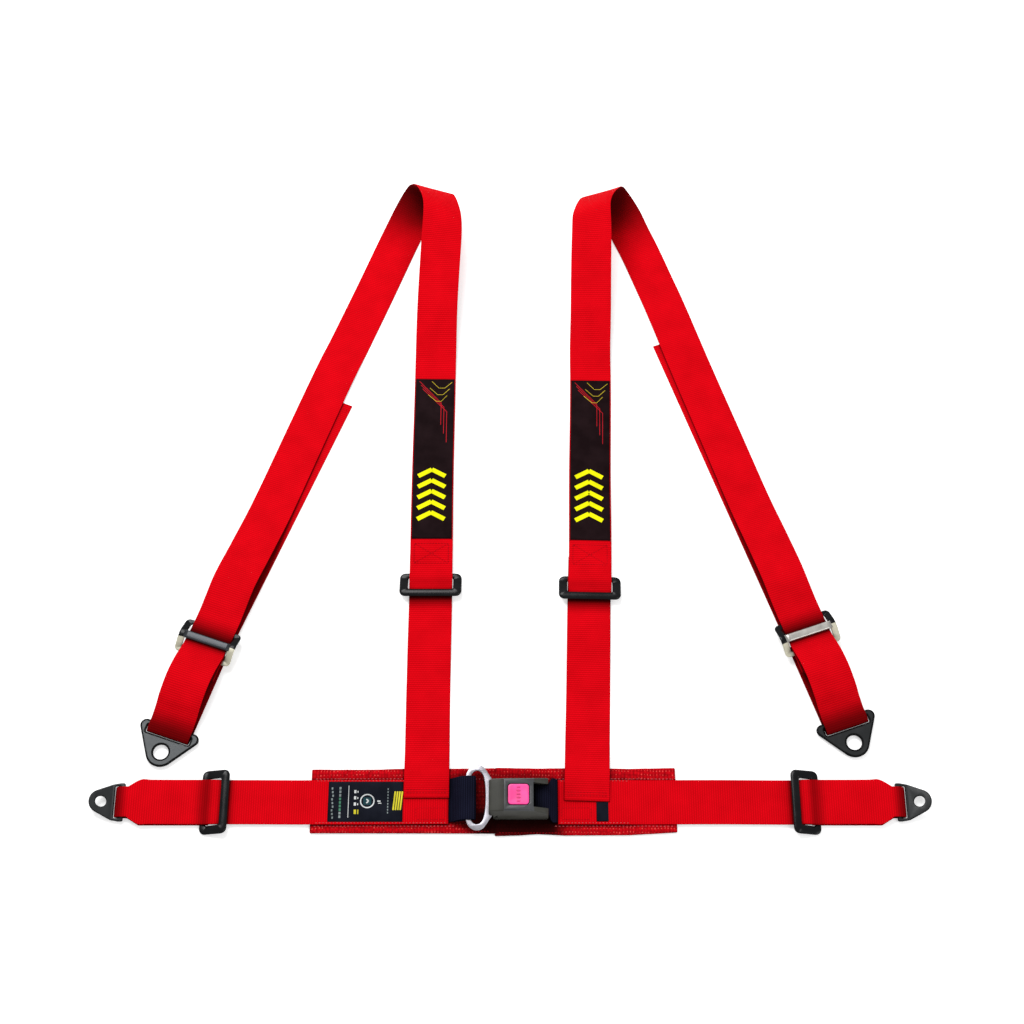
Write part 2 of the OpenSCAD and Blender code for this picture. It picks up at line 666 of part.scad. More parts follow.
// Triangular plate: a wide slotted top edge and a round apex about the hole.
module rear_anchor() {
    half = 35;
    corner = 7;
    apex = 17;
    slot_half = 26.2;
    slot = [rear_bar[0] / 2, 11.7];
    hole_y = -rear_hole_gap;
    // Edges from each upper corner to the apex circle, tangent to both.
    side_y = corner / 2 - 6;
    difference() {
        union() {
            anchor_bar(rear_bar, 2 * half - 8);
            translate([0, 0, -anchor_t / 2]) linear_extrude(anchor_t) {
                for (s = [-1, 1]) {
                    translate([s * (half - corner), -corner + rear_bar[0] / 2]) circle(corner);
                    polygon([
                        [s * slot_half, 0], [s * (half - corner), rear_bar[0] / 2], [s * (half - 2), -corner],
                        [s * (half - 2.4), side_y - 6.6], [s * 13.2, hole_y - 10.7], [0, hole_y], [s * slot_half, -slot[1]]
                    ]);
                }
                polygon([[-slot_half, -slot[1]], [slot_half, -slot[1]], [13, hole_y - 8], [-13, hole_y - 8]]);
                translate([0, hole_y]) circle(apex);
            }
        }
        translate([-slot_half, -slot[1], -5]) cube([2 * slot_half, slot[1] - slot[0], 10]);
        translate([0, hole_y, -5]) cylinder(r = rear_bore_r, h = 10);
    }
}

module at_rear_bar(side) {
    at_rear_slide(side) translate([0, -rear_loop_l, low_z + rear_turn.y]) children();
}

module left_rear_anchor() color(BLACK) at_rear_bar(LEFT) rear_anchor();
module right_rear_anchor() color(BLACK) at_rear_bar(RIGHT) rear_anchor();

buckle_top_cover();
buckle_bottom_cover();
buckle_frame();
buckle_rivets();
release_button();
button_spring();
latch_pawl();
ejector();
ejector_springs();
tongue_plate();
buckle_web_loop();
tongue_web_loop();
care_label();
strap_tab();
left_pad();
right_pad();
left_lap_strap();
right_lap_strap();
left_lap_slide();
right_lap_slide();
left_lap_end_loop();
right_lap_end_loop();
left_lap_anchor();
right_lap_anchor();
left_lower_strap();
right_lower_strap();
left_shoulder_slide();
right_shoulder_slide();
left_shoulder_strap();
right_shoulder_strap();
left_shoulder_label();
right_shoulder_label();
left_rear_slide();
right_rear_slide();
left_rear_end_loop();
right_rear_end_loop();
left_rear_tail();
right_rear_tail();
left_rear_anchor();
right_rear_anchor();
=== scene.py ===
import contextlib
import math
import bmesh
import bpy
import numpy as np
from mathutils import Matrix, Vector


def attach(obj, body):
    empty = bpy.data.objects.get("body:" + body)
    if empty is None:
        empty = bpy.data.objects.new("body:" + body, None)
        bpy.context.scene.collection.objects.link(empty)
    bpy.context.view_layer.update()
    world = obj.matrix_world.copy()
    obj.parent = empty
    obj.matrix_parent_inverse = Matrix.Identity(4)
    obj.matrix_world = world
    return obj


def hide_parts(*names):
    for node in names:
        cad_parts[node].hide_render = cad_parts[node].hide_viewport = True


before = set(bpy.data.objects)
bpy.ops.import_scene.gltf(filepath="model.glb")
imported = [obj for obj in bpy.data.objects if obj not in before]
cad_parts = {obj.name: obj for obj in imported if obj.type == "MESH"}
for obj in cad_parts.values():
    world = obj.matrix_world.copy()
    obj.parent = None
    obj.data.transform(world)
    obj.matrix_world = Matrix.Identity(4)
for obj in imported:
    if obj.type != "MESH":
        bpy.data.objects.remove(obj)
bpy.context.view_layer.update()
MM = 0.001
SIDES = (("left", -1), ("right", 1))
WIDTH, THICK = 50, 1.4  # of the webbing, in mm


# ---------------------------------------------------------------- camera, light and floor

def new_object(name, data):
    obj = bpy.data.objects.new(name, data)
    bpy.context.scene.collection.objects.link(obj)
    return obj


def point_at(obj, target):
    obj.rotation_mode = "QUATERNION"
    obj.rotation_quaternion = (Vector(target) - obj.location).to_track_quat("-Z", "Y")


def add_camera():
    data = bpy.data.cameras.new("camera")
    data.lens, data.sensor_width = 61.94, 36.0
    cam = new_object("camera", data)
    target, tilt, distance = Vector((0.002, -0.028, 0.0)), math.radians(65), 2.092
    cam.location = target + distance * Vector((0, -math.cos(tilt), math.sin(tilt)))
    point_at(cam, target)
    data.clip_start, data.clip_end = 0.05, 30
    bpy.context.scene.camera = cam


def add_area(name, location, target, size, energy):
    data = bpy.data.lights.new(name, "AREA")
    data.shape, data.size, data.energy = "DISK", size, energy
    lamp = new_object(name, data)
    lamp.location = location
    point_at(lamp, target)


def add_studio():
    world = bpy.data.worlds.new("studio")
    bpy.context.scene.world = world
    world.use_nodes = True
    sky = world.node_tree.nodes["Background"].inputs
    sky["Color"].default_value, sky["Strength"].default_value = (1, 1, 1, 1), 0.50
    add_area("key", (-0.7, 1.1, 2.2), (0, 0, 0), 1.5, 50)
    add_area("fill", (1.3, -1.0, 2.0), (0, -0.1, 0), 1.4, 12)
    mesh = bpy.data.meshes.new("floor")
    r = 6.0
    mesh.from_pydata([(-r, -r, 0), (r, -r, 0), (r, r, 0), (-r, r, 0)], [], [(0, 1, 2, 3)])
    floor = new_object("floor", mesh)
    pale, _, surface = shader("floor", (0.95, 0.95, 0.95), rough=0.9, spec=0.1)
    surface.inputs["Emission Color"].default_value = (1, 1, 1, 1)
    surface.inputs["Emission Strength"].default_value = 0.42
    floor.data.materials.append(pale)
    bpy.context.scene.view_settings.view_transform = "Standard"


# ---------------------------------------------------------------- materials

def shader(name, colour, rough=0.5, metal=0.0, spec=0.5, sheen=0.0, coat=0.0):
    """A material with one value for each of the shader's own sockets."""
    mat = bpy.data.materials.new(name)
    mat.use_nodes = True
    tree = mat.node_tree
    bsdf = tree.nodes["Principled BSDF"]
    for key, value in (
        ("Base Color", (*colour, 1)), ("Roughness", rough), ("Metallic", metal),
        ("Specular IOR Level", spec), ("Sheen Weight", sheen), ("Coat Weight", coat),
    ):
        bsdf.inputs[key].default_value = value
    mat.diffuse_color = (*colour, 1)
    return mat, tree, bsdf


class Graph:
    """Short calls for adding shader nodes."""

    def __init__(self, tree):
        self.tree = tree

    def node(self, kind, inputs=(), **props):
        n = self.tree.nodes.new(kind)
        for key, value in props.items():
            setattr(n, key, value)
        for key, value in dict(inputs).items():
            if isinstance(value, bpy.types.NodeSocket):
                self.tree.links.new(value, n.inputs[key])
            else:
                n.inputs[key].default_value = value
        return n

    def math(self, op, a, b=0.0):
        return self.node("ShaderNodeMath", {0: a, 1: b}, operation=op).outputs[0]

    def add(self, a, b):
        return self.math("ADD", a, b)

    def mul(self, a, b):
        return self.math("MULTIPLY", a, b)

    def wave(self, value, pitch, shift=0.0):
        """0 to 1, one cycle in each pitch."""
        turned = self.add(self.mul(value, 2 * math.pi / pitch), shift)
        return self.add(self.mul(self.math("SINE", turned), 0.5), 0.5)

    def folds(self, colour, reach=0.03, deepest=0.3):
        """Darkens a colour in folds and under other pieces, where cloth takes little light."""
        n = self.node("ShaderNodeAmbientOcclusion", {"Distance": reach}, samples=6)
        shade = self.ramp(self.math("POWER", n.outputs["AO"], 2.0), deepest, 1.0)
        mul = self.node("ShaderNodeVectorMath", {0: colour}, operation="SCALE")
        self.tree.links.new(shade, mul.inputs["Scale"])
        return mul.outputs["Vector"]

    def noise(self, vector, scale, detail=2.0, rough=0.5):
        return self.node("ShaderNodeTexNoise", {
            "Vector": vector, "Scale": scale, "Detail": detail, "Roughness": rough}).outputs["Fac"]

    def ramp(self, fac, low, high, a=0.0, b=1.0):
        """Maps a to b onto low to high."""
        return self.node("ShaderNodeMapRange", {
            "Value": fac, "From Min": a, "From Max": b, "To Min": low, "To Max": high}).outputs["Result"]

    def split(self, vector):
        return self.node("ShaderNodeSeparateXYZ", {"Vector": vector}).outputs

    def space(self):
        return self.node("ShaderNodeTexCoord").outputs["Object"]

    def painted_shade(self, bsdf, tone, dark, reach, deepest):
        """Sets the base colour with painted shade: darkened where the piece's shade attribute says and in folds."""
        shade = self.node("ShaderNodeAttribute", attribute_name="shade").outputs["Fac"]
        self.tree.links.new(self.folds(self.mix(shade, tone, dark), reach, deepest), bsdf.inputs["Base Color"])

    def mix(self, fac, a, b):
        n = self.node("ShaderNodeMix", data_type="RGBA")
        for socket, value in ((n.inputs["Factor"], fac), (n.inputs[6], a), (n.inputs[7], b)):
            if isinstance(value, bpy.types.NodeSocket):
                self.tree.links.new(value, socket)
            else:
                socket.default_value = value if isinstance(value, float) else (*value, 1)
        return n.outputs[2]

    def bump(self, bsdf, height, distance, strength=1.0):
        n = self.node("ShaderNodeBump", {"Height": height, "Distance": distance, "Strength": strength})
        self.tree.links.new(n.outputs["Normal"], bsdf.inputs["Normal"])


def webbing(name, colour, dark, rib=2.5 * MM, column=3.0 * MM, rough=0.78, sheen=0.12):
    """Woven webbing: staggered cross ribs between lengthwise columns, and a plain selvedge."""
    mat, tree, bsdf = shader(name, colour, rough, spec=0.02, sheen=sheen)
    g = Graph(tree)
    u, v, _ = g.split(g.node("ShaderNodeUVMap", uv_map="UVMap").outputs["UV"])
    ribs = g.wave(v, rib)
    row = g.math("FLOOR", g.mul(v, 1 / rib), 0.0)
    odd = g.mul(g.math("MODULO", row, 2.0), math.pi)
    columns = g.wave(u, column, odd)
    yarns = g.wave(u, column / 3)
    height = g.add(g.mul(ribs, g.ramp(columns, 0.55, 1.0)), g.mul(yarns, 0.18))
    space = g.space()
    blotch = g.noise(space, 38.0, 3.0)
    fine = g.noise(space, 900.0, 1.0)
    # Painted shade: the ribs' valleys darker than their crowns, mixed with random blotches of the yarn's own tone.
    shade = g.add(g.mul(height, 0.55), g.mul(blotch, 0.45))
    tone = g.mix(g.ramp(shade, 0.0, 1.0, 0.15, 0.85), dark, colour)
    # Painted shade from the shade attribute and in folds.
    g.painted_shade(bsdf, tone, tuple(c * 0.06 for c in colour), 0.055, 0.06)
    g.bump(bsdf, g.add(height, g.mul(fine, 0.25)), 0.0004, 0.7)
    bsdf.inputs["Sheen Roughness"].default_value = 0.45
    tint = (min(1, colour[0] * 1.3 + 0.05), colour[1] * 2 + 0.02, colour[2] * 2 + 0.02, 1)
    bsdf.inputs["Sheen Tint"].default_value = tint
    return mat


def painted(name, colour, rough, metal=0.0, coat=0.0, spec=0.5, grain=420.0, depth=0.04 * MM, wear=None):
    """Coated or bare metal and moulded plastic: a fine grain, uneven gloss and light scratches."""
    mat, tree, bsdf = shader(name, colour, rough=rough, metal=metal, coat=coat, spec=spec)
    g = Graph(tree)
    space = g.space()
    grain_map = g.noise(space, grain, 2.0)
    cloud = g.noise(space, 46.0, 4.0, 0.6)
    tree.links.new(g.ramp(cloud, rough * 0.8, min(1.0, rough * 1.3), 0.3, 0.7), bsdf.inputs["Roughness"])
    other = wear or tuple(min(1.0, c * 1.5 + 0.004) for c in colour)
    tone = g.mix(g.ramp(cloud, 0.0, 1.0, 0.45, 0.75), colour, other)
    # Painted shade: darker in recesses and under other pieces.
    tree.links.new(g.folds(tone, 0.012, 0.35), bsdf.inputs["Base Color"])
    g.bump(bsdf, grain_map, depth, 0.6)
    bsdf.inputs["Coat Roughness"].default_value = 0.2
    return mat


def pad_cloth(name, colour, dark, light):
    """Coarse pad cloth: puffed cells, with painted highlights as light dashes on the raised weave and painted shade in
    the dark pits.
    """
    mat, tree, bsdf = shader(name, colour, rough=0.88, spec=0.04, sheen=0.04)
    g = Graph(tree)
    space = g.space()
    stretched = g.node("ShaderNodeMapping", {"Vector": space, "Scale": (1.0, 0.7, 1.0)}).outputs["Vector"]
    cells = {"Vector": stretched, "Scale": 290.0, "Randomness": 0.35}
    pits = g.node("ShaderNodeTexVoronoi", cells, feature="F1").outputs["Distance"]
    x, y, _ = g.split(space)
    drift = g.mul(g.noise(space, 45.0, 2.0), 0.006)
    weave = g.mul(g.wave(g.add(x, drift), 3.5 * MM), g.wave(g.add(y, drift), 4.6 * MM))
    speck = g.ramp(g.mul(weave, g.noise(space, 150.0, 1.0)), 0.0, 1.0, 0.36, 0.52)
    blotch = g.noise(space, 120.0, 3.0)
    # Painted shade in the pits and painted highlights as the light dashes; the blotches are the cloth's own uneven
    # tone.
    tone = g.mix(g.ramp(pits, 1.0, 0.0, 0.1, 0.75), dark, colour)
    tone = g.mix(g.ramp(blotch, 0.0, 0.3, 0.5, 0.75), tone, dark)
    tone = g.mix(g.mul(speck, 0.75), tone, light)
    # Painted shade from the shade attribute and in folds.
    g.painted_shade(bsdf, tone, tuple(c * 0.02 for c in colour), 0.04, 0.12)
    g.bump(bsdf, g.add(g.mul(pits, -1.0), g.mul(weave, 0.6)), 0.0006, 0.8)
    bsdf.inputs["Sheen Roughness"].default_value = 0.4
    return mat


def plain_cloth(name, colour, rough=0.5, rib=0.6 * MM):
    """Fine printed label cloth or thread."""
    mat, tree, bsdf = shader(name, colour, rough=rough, spec=0.03, sheen=0.01)
    g = Graph(tree)
    space = g.space()
    x, y, _ = g.split(space)
    cloud = g.ramp(g.noise(space, 60.0, 3.0), 0.0, 1.0, 0.35, 0.7)
    low, high = tuple(c * 0.8 for c in colour), tuple(min(1.0, c * 1.25 + 0.002) for c in colour)
    tree.links.new(g.mix(cloud, low, high), bsdf.inputs["Base Color"])
    g.bump(bsdf, g.mul(g.wave(x, rib), g.wave(y, rib)), 0.1 * MM, 0.5)
    return mat


add_camera()
add_studio()
M = {
    "red": webbing("red_webbing", (0.81, 0.0015, 0.008), (0.46, 0.0005, 0.003)),
    "navy": webbing("navy_webbing", (0.011, 0.012, 0.029), (0.002, 0.002, 0.006), column=2.4 * MM, rough=0.6,
                    sheen=0.03),
    "pad": pad_cloth("pad_cloth", (0.66, 0.002, 0.008), (0.26, 0.0005, 0.003), (0.95, 0.085, 0.075)),
    "thread": plain_cloth("red_thread", (0.50, 0.003, 0.010), 0.6),
    "pale_thread": plain_cloth("pale_thread", (0.78, 0.16, 0.18), 0.6),
    "label": plain_cloth("label_cloth", (0.008, 0.002, 0.003), 0.55),
    "black": painted("black_coating", (0.003, 0.0034, 0.0042), 0.22, coat=0.03, spec=0.17, depth=0.02 * MM,
                     wear=(0.006, 0.0065, 0.008)),
    "rim": painted("black_rim", (0.003, 0.0032, 0.0035), 0.5, spec=0.08, wear=(0.006, 0.006, 0.007)),
    "anchor": painted("anchor_coating", (0.045, 0.050, 0.053), 0.42, metal=0.35, coat=0.15, spec=0.3),
    "dark_anchor": painted("dark_anchor_coating", (0.014, 0.0155, 0.0165), 0.46, metal=0.2, coat=0.1, spec=0.22),
    "cream": painted("plated_steel", (0.50, 0.48, 0.37), 0.45, metal=0.25),
    # A pale copy of the bar steel: a painted highlight for the right rear slide's bar.
    "lit_bar": painted("pale_bar_steel", (0.42, 0.41, 0.38), 0.28, metal=0.6, coat=0.3),
    "bar": painted("bar_steel", (0.030, 0.033, 0.039), 0.3, metal=0.35, coat=0.12, spec=0.2),
    "chrome": painted("tongue_steel", (0.33, 0.32, 0.355), 0.30, metal=0.9, grain=90.0, depth=0.02 * MM),
    "steel": painted("inner_steel", (0.40, 0.40, 0.41), 0.35, metal=0.9),
    "spring": painted("spring_steel", (0.27, 0.27, 0.29), 0.24, metal=0.95, grain=900.0),
    "housing": painted("housing_plastic", (0.034, 0.034, 0.028), 0.5, spec=0.3, grain=700.0, depth=0.06 * MM),
    "panel": painted("panel_plastic", (0.040, 0.042, 0.045), 0.36, spec=0.3, grain=700.0, depth=0.03 * MM,
                     coat=0.15),
    "pink": painted("button_plastic", (0.97, 0.042, 0.27), 0.35, grain=500.0, depth=0.02 * MM, coat=0.2),
    "mark": painted("button_mark", (0.70, 0.02, 0.17), 0.5),
}
PRINTS = {
    "care": ("care_cloth", (0.005, 0.006, 0.012)),
    "yellow": ("yellow_print", (0.93, 0.93, 0.002)),
    "gold": ("gold_print", (0.55, 0.42, 0.03)),
    "mustard": ("mustard_print", (0.62, 0.55, 0.03)),
    "red_print": ("red_print", (0.55, 0.01, 0.02)),
    "white": ("white_print", (0.62, 0.64, 0.64)),
    "grey_print": ("grey_print", (0.22, 0.26, 0.26)),
    "teal": ("teal_print", (0.012, 0.045, 0.055)),
    "green": ("green_print", (0.06, 0.20, 0.12)),
}
M.update({key: plain_cloth(name, colour) for key, (name, colour) in PRINTS.items()})


# ---------------------------------------------------------------- mesh helpers

def finish_piece(obj, body, replaces=(), smooth=True):
    for p in obj.data.polygons:
        p.use_smooth = smooth
    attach(obj, body)
    if replaces:
        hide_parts(*replaces)
    return obj


def mesh_object(name, verts, faces, mats, face_mats=None):
    mesh = bpy.data.meshes.new(name)
    mesh.from_pydata([tuple(map(float, v)) for v in verts], [], [tuple(map(int, f)) for f in faces])
    for m in mats:
        mesh.materials.append(M[m])
    if face_mats is not None:
        mesh.polygons.foreach_set("material_index", np.array(face_mats, np.int32))
    mesh.update()
    return new_object(name, mesh)


def tube_faces(rings, around, capped=True):
    """Faces between rings of points, and over both ends."""
    faces = [(i * around + k, i * around + (k + 1) % around, (i + 1) * around + (k + 1) % around, (i + 1) * around + k)
             for i in range(rings - 1) for k in range(around)]
    ends = [tuple(range(around - 1, -1, -1)), tuple((rings - 1) * around + k for k in range(around))]
    return faces + ends if capped else faces


@contextlib.contextmanager
def editing(mesh):
    """A mesh open for bmesh edits, written back at the end."""
    bm = bmesh.new()
    bm.from_mesh(mesh)
    yield bm
    bm.to_mesh(mesh)
    bm.free()


def set_mesh(obj, transform=Matrix.Identity(4)):
    """Moves a mesh and turns its faces outwards."""
    obj.data.transform(transform)
    with editing(obj.data) as bm:
        bmesh.ops.recalc_face_normals(bm, faces=bm.faces)
    return obj


def smooth_step(t):
    t = min(max(t, 0.0), 1.0)
    return t * t * (3 - 2 * t)


def run_of(points):
    """How far along a line each of its points lies."""
    return np.concatenate([[0], np.cumsum(np.linalg.norm(np.diff(points, axis=0), axis=1))])


def spline(points, steps):
    """A smooth curve through points."""
    p = np.array(points, float)
    out = []
    for i in range(len(p) - 1):
        a, b, c, d = p[max(i - 1, 0)], p[i], p[i + 1], p[min(i + 2, len(p) - 1)]
        for k in range(steps):
            t = k / steps
            out.append(b + (c - a) * t / 2 + (2 * a - 5 * b + 4 * c - d) * t * t / 2
                       + (3 * b - a - 3 * c + d) * t ** 3 / 2)
    return np.array(out + [p[-1]])


def softened(route, above, reach=9.0, ease=60.0):
    """Rounds off a route where its y is above a height, as stiff webbing rounds its own bends."""
    s = run_of(route[:, :3])
    weight = np.exp(-0.5 * ((s[:, None] - s[None, :]) / reach) ** 2)
    smooth = weight @ route / weight.sum(1)[:, None]
    share = np.array([smooth_step((y - above) / ease) for y in route[:, 1]])[:, None]
    return route + (smooth - route) * share


class Strap:
    """Webbing along a route of x, y, z, turn of the width about Z, tilt and, if given, width."""

    def __init__(self, route, width, steps=6, transform=None, soft_above=None):
        r = spline(route, steps) if steps else np.array(route, float)
        if soft_above is not None:
            r = softened(r, soft_above)
        self.mid = r[:, :3] * MM
        self.width = (r[:, 5] if r.shape[1] > 5 else np.full(len(r), float(width))) * MM
        along = np.vstack([self.mid[1:], self.mid[-1:]]) - np.vstack([self.mid[:1], self.mid[:-1]])
        along /= np.linalg.norm(along, axis=1)[:, None]
        turn, tilt = np.radians(r[:, 3]), np.radians(r[:, 4])
        across = np.stack([np.cos(turn) * np.cos(tilt), np.sin(turn) * np.cos(tilt), np.sin(tilt)], 1)
        across -= along * (across * along).sum(1)[:, None]
        self.across = across / np.linalg.norm(across, axis=1)[:, None]
        self.up = np.cross(self.across, along)
        if transform is not None:
            rot, move = np.array(transform.to_3x3()), np.array(transform.translation)
            self.mid = self.mid @ rot.T + move
            self.across, self.up = self.across @ rot.T, self.up @ rot.T
        self.s = run_of(self.mid)
        self.length = self.s[-1]

    def lerp(self, table, s):
        return np.stack([np.interp(s, self.s, table[:, i]) for i in range(3)], 1)

    def at(self, s, u, lift):
        """Points s along, u across and lift above the middle of the webbing, in metres."""
        s, u, lift = (np.atleast_1d(np.asarray(q, float)) for q in (s, u, lift))
        return self.lerp(self.mid, s) + self.lerp(self.across, s) * u[:, None] + self.lerp(self.up, s) * lift[:, None]

    def s_at_y(self, y, first=True):
        hits = np.where(np.diff(np.sign(self.mid[:, 1] - y * MM)) != 0)[0]
        i = hits[0] if first else hits[-1]
        t = (y * MM - self.mid[i, 1]) / (self.mid[i + 1, 1] - self.mid[i, 1])
        return self.s[i] + t * (self.s[i + 1] - self.s[i])


def ribbon(name, strap, mat, body, slot, replaces=(), t=THICK * MM, span=None, trim=0.0, lift=0.0,
           wave=0.0, seed=0, step=2.5 * MM, columns=14, shade=()):
    """A closed woven band along a strap, with round edges and a slightly uneven lie.

    A row of shade darkens a stretch: its middle, reach before and after it in mm, depth, and face (0 for both).
    """
    a, b = span or (0.0, strap.length)
    n = max(2, int(round((b - a) / step)) + 1)
    s = np.linspace(a, b, n)
    half = np.interp(s, strap.s, strap.width) / 2 - trim
    r = t / 2
    flat, ones = np.linspace(-1, 1, columns), np.ones(columns)
    edge = np.radians([60, 30, 0, -30, -60])
    round_out, round_up = r * np.cos(edge), r * np.sin(edge)
    share = np.concatenate([flat, ones[:5], flat[::-1], -ones[:5]])
    extra = np.concatenate([0 * flat, round_out, 0 * flat, -round_out[::-1]])
    up = np.concatenate([r * ones, round_up, -r * ones, round_up[::-1]])
    m = len(share)
    S, share, extra, up = np.repeat(s, m), np.tile(share, n), np.tile(extra, n), np.tile(up, n)
    U = share * (np.repeat(half, m) - r) + extra
    phase = np.random.default_rng(seed).uniform(0, 6.28, 6)
    lie = wave * (0.5 * np.sin(S * 61 + phase[0]) + 0.3 * np.sin(S * 143 + phase[1] + 3 * share)
                  + 0.4 * np.sin(S * 33 + phase[2]) * share ** 2)
    crown = -0.12 * MM * share ** 4
    sway = 0.25 * MM * np.sin(S * 27 + phase[3]) * (1 if wave else 0)
    pts = strap.at(S, U + sway, up * (1 - 0.1 * share ** 8) + lift + lie + crown * np.sign(up))
    obj = mesh_object(name, pts, tube_faces(n, m), [mat])
    layer = obj.data.uv_layers.new(name="UVMap")
    index = np.zeros(len(obj.data.loops), np.int32)
    obj.data.loops.foreach_get("vertex_index", index)
    layer.data.foreach_set("uv", np.stack([U[index], S[index]], 1).astype(np.float32).ravel())
    dark = np.zeros(len(S))
    for middle, before, after, amount, face in shade:
        away = S / MM - middle
        near = np.clip(1 - np.abs(away) / np.where(away < 0, before, after), 0, 1)
        near *= near * (3 - 2 * near) * amount
        dark = np.maximum(dark, near if face == 0 else np.where(up * face > 0, near, 0))
    if shade:
        obj.data.attributes.new("shade", "FLOAT", "POINT").data.foreach_set("value", dark.astype(np.float32))
    return finish_piece(set_mesh(obj), body, replaces)


def along_strap(strap, path, lift):
    """A sewing line on a strap along (s, u) points in mm, as points and the cloth's normals."""
    path = np.array(path, float) * MM
    cum = run_of(path)
    q = np.linspace(0, cum[-1], max(2, int(cum[-1] / (1.2 * MM))))
    s, u = np.interp(q, cum, path[:, 0]), np.interp(q, cum, path[:, 1])
    return strap.at(s, u, lift), strap.lerp(strap.up, s) * np.sign(lift)


def thread(name, lines, mat, body, slot, length=2.3 * MM, gap=1.1 * MM, radius=0.27 * MM):
    """Sewn rows along lines of points and normals, each stitch a small rounded grain of thread."""
    verts, faces = [], []
    ring = [(math.cos(a * math.pi / 3), math.sin(a * math.pi / 3)) for a in range(6)]
    grain = tube_faces(3, 6)
    for points, normals in lines:
        cum = run_of(points)
        for pos in np.arange(gap / 2, cum[-1] - length, length + gap):
            q = np.array([pos, pos + length / 2, pos + length])
            p = np.stack([np.interp(q, cum, points[:, i]) for i in range(3)], 1)
            up = np.array([np.interp(q[1], cum, normals[:, i]) for i in range(3)])
            d = (p[2] - p[0]) / np.linalg.norm(p[2] - p[0])
            across = np.cross(d, up)
            p[0] -= up * radius * 0.5
            p[2] -= up * radius * 0.5
            faces += [[len(verts) + i for i in f] for f in grain]
            for k, r in enumerate((radius * 0.55, radius, radius * 0.55)):
                verts += [p[k] + r * (across * c + up * v) for c, v in ring]
    return finish_piece(mesh_object(name, verts, faces, [mat]), body)


def decal(name, strap, shapes, mat, body, lift, thick=0.06 * MM):
    """Printed marks: bars from (s, u) to (s, u) of a given width, laid on a strap."""
    verts, faces = [], []
    for (s0, u0), (s1, u1), width in shapes:
        n = max(1, int(abs(s1 - s0) / (4 * MM)))
        d = np.array([s1 - s0, u1 - u0])
        d /= np.linalg.norm(d)
        side = np.array([-d[1], d[0]]) * width / 2
        base = len(verts)
        for k in range(n + 1):
            c = np.array([s0, u0]) + np.array([s1 - s0, u1 - u0]) * k / n
            for sg, l in ((1, thick), (-1, thick), (-1, 0), (1, 0)):
                q = c + side * sg
                verts.append(strap.at(q[0], q[1], lift + l)[0])
        faces += [[base + i for i in f] for f in tube_faces(n + 1, 4)]
    return finish_piece(mesh_object(name, verts, faces, [mat]), body, smooth=False)


# ---------------------------------------------------------------- routes, in millimetres

# Rows of x, y and z of the webbing's middle, then how far its width is turned about Z and tilted, in degrees
SHOULDER = {
    "left": [
        [-92.5, -137, 6.4, 0, 0], [-92.5, -66, 6.4, 0, 0], [-92.5, -50, 6.4, 0, 0],
        [-92.5, -36, 6.4, 0, 0], [-92.5, 20, 3.5, 0, 0], [-92.5, 90, 2.5, 0, 0],
        [-92.2, 149, 5, 0, 0], [-91.5, 190, 12, 0, 0], [-90, 242, 28, -1, 4],
        [-86.8, 312, 45, -4, -2], [-85, 349.4, 54.5, -6, -18], [-87, 377, 54.5, -7.5, -24],
        [-96.5, 405.8, 41.6, -8, -14.5], [-106, 413, 19.7, -12, -5], [-119.9, 402.8, 5.2, -18, -3],
        [-132.8, 374.7, 1.6, -20.6, -1], [-147, 339, 0.9, -20.6, 0],
        [-174.5, 266, 0.9, -20.6, 0], [-199.5, 200, 1, -20.6, 0],
        [-214, 162, 2.8, -20.6, 0], [-247.5, 72, 3, -20.2, 0], [-282, -25, 4.5, -20, 0],
        [-303, -82, 12, -19.5, 0], [-318, -122, 18.5, -19, 0], [-327.5, -149, 15.5, -19, 0],
        [-334.5, -169, 12.9, -19, 0], [-345.7, -200, 12.7, -19, 0], [-358.5, -237, 12.7, -19, 0]],
    "right": [
        [92, -141, 6.4, -1.3, 0], [93.7, -68, 6.4, -1.3, 0], [94, -54, 6.4, -1.3, 0],
        [94.3, -40, 6.4, -1.3, 0], [95.5, 20, 3.5, -1.2, 0], [97, 90, 2.5, -1, 0],
        [98, 147, 5, -0.5, 0], [98.3, 188, 12, 0, 0], [99.8, 236, 26, 0, 0],
        [100.7, 302.6, 42, 2, 7], [101.3, 341, 54, 7, 16], [102.1, 370.3, 56.2, 13, 21],
        [115, 406.1, 34.2, 10, 11.5], [126.2, 408.8, 13.6, 11.5, 6], [143.1, 389.9, 4, 16, 1.5],
        [152.8, 364.2, 2.4, 18, 2], [163.5, 340, 0.9, 18.5, 0],
        [181, 290, 1, 18.5, 0], [196, 246, 2.8, 18.5, 0],
        [247, 93, 3, 18.5, 0], [280, -6, 4.5, 18.6, 0], [300, -66, 12, 18.8, 0],
        [314, -111, 18.5, 19, 0], [323, -138, 15.5, 19, 0], [330, -158, 12.9, 19, 0],
        [341.3, -190, 12.7, 19, 0], [354, -227, 12.7, 19, 0]],
}
RAISED, STACKED = 6.35, 7.75  # the lap strap's height on a pad, and the lower strap's on it
LOWER_LIE = (STACKED, STACKED, 6.2, 1.6, 0.9, 0.9, 1.6, 4.4, 4.7, 4.7, 4.7, 4.7, 4.7, 4.7)
LOWER_WAY = {
    "left": [(-92.5, y, 0) for y in (-378.6, -356, -343, -316, -290, -245, -225, -200, -191, -181, -168, -148, -117,
                                     -85)],
    "right": [(84.5, -382, -1.5), (85.2, -356, -1.5), (85.6, -340, -1.5), (86.3, -314, -1.5), (87, -290, -1.5),
              (88.3, -249, -1.5), (88.9, -229, -1.5), (89.6, -204, -1.4), (89.9, -195, -1.4), (90.2, -185, -1.3),
              (90.6, -171, -1.3), (91.2, -150, -1.3), (92.1, -118, -1.3), (92.9, -89, -1.3)],
}
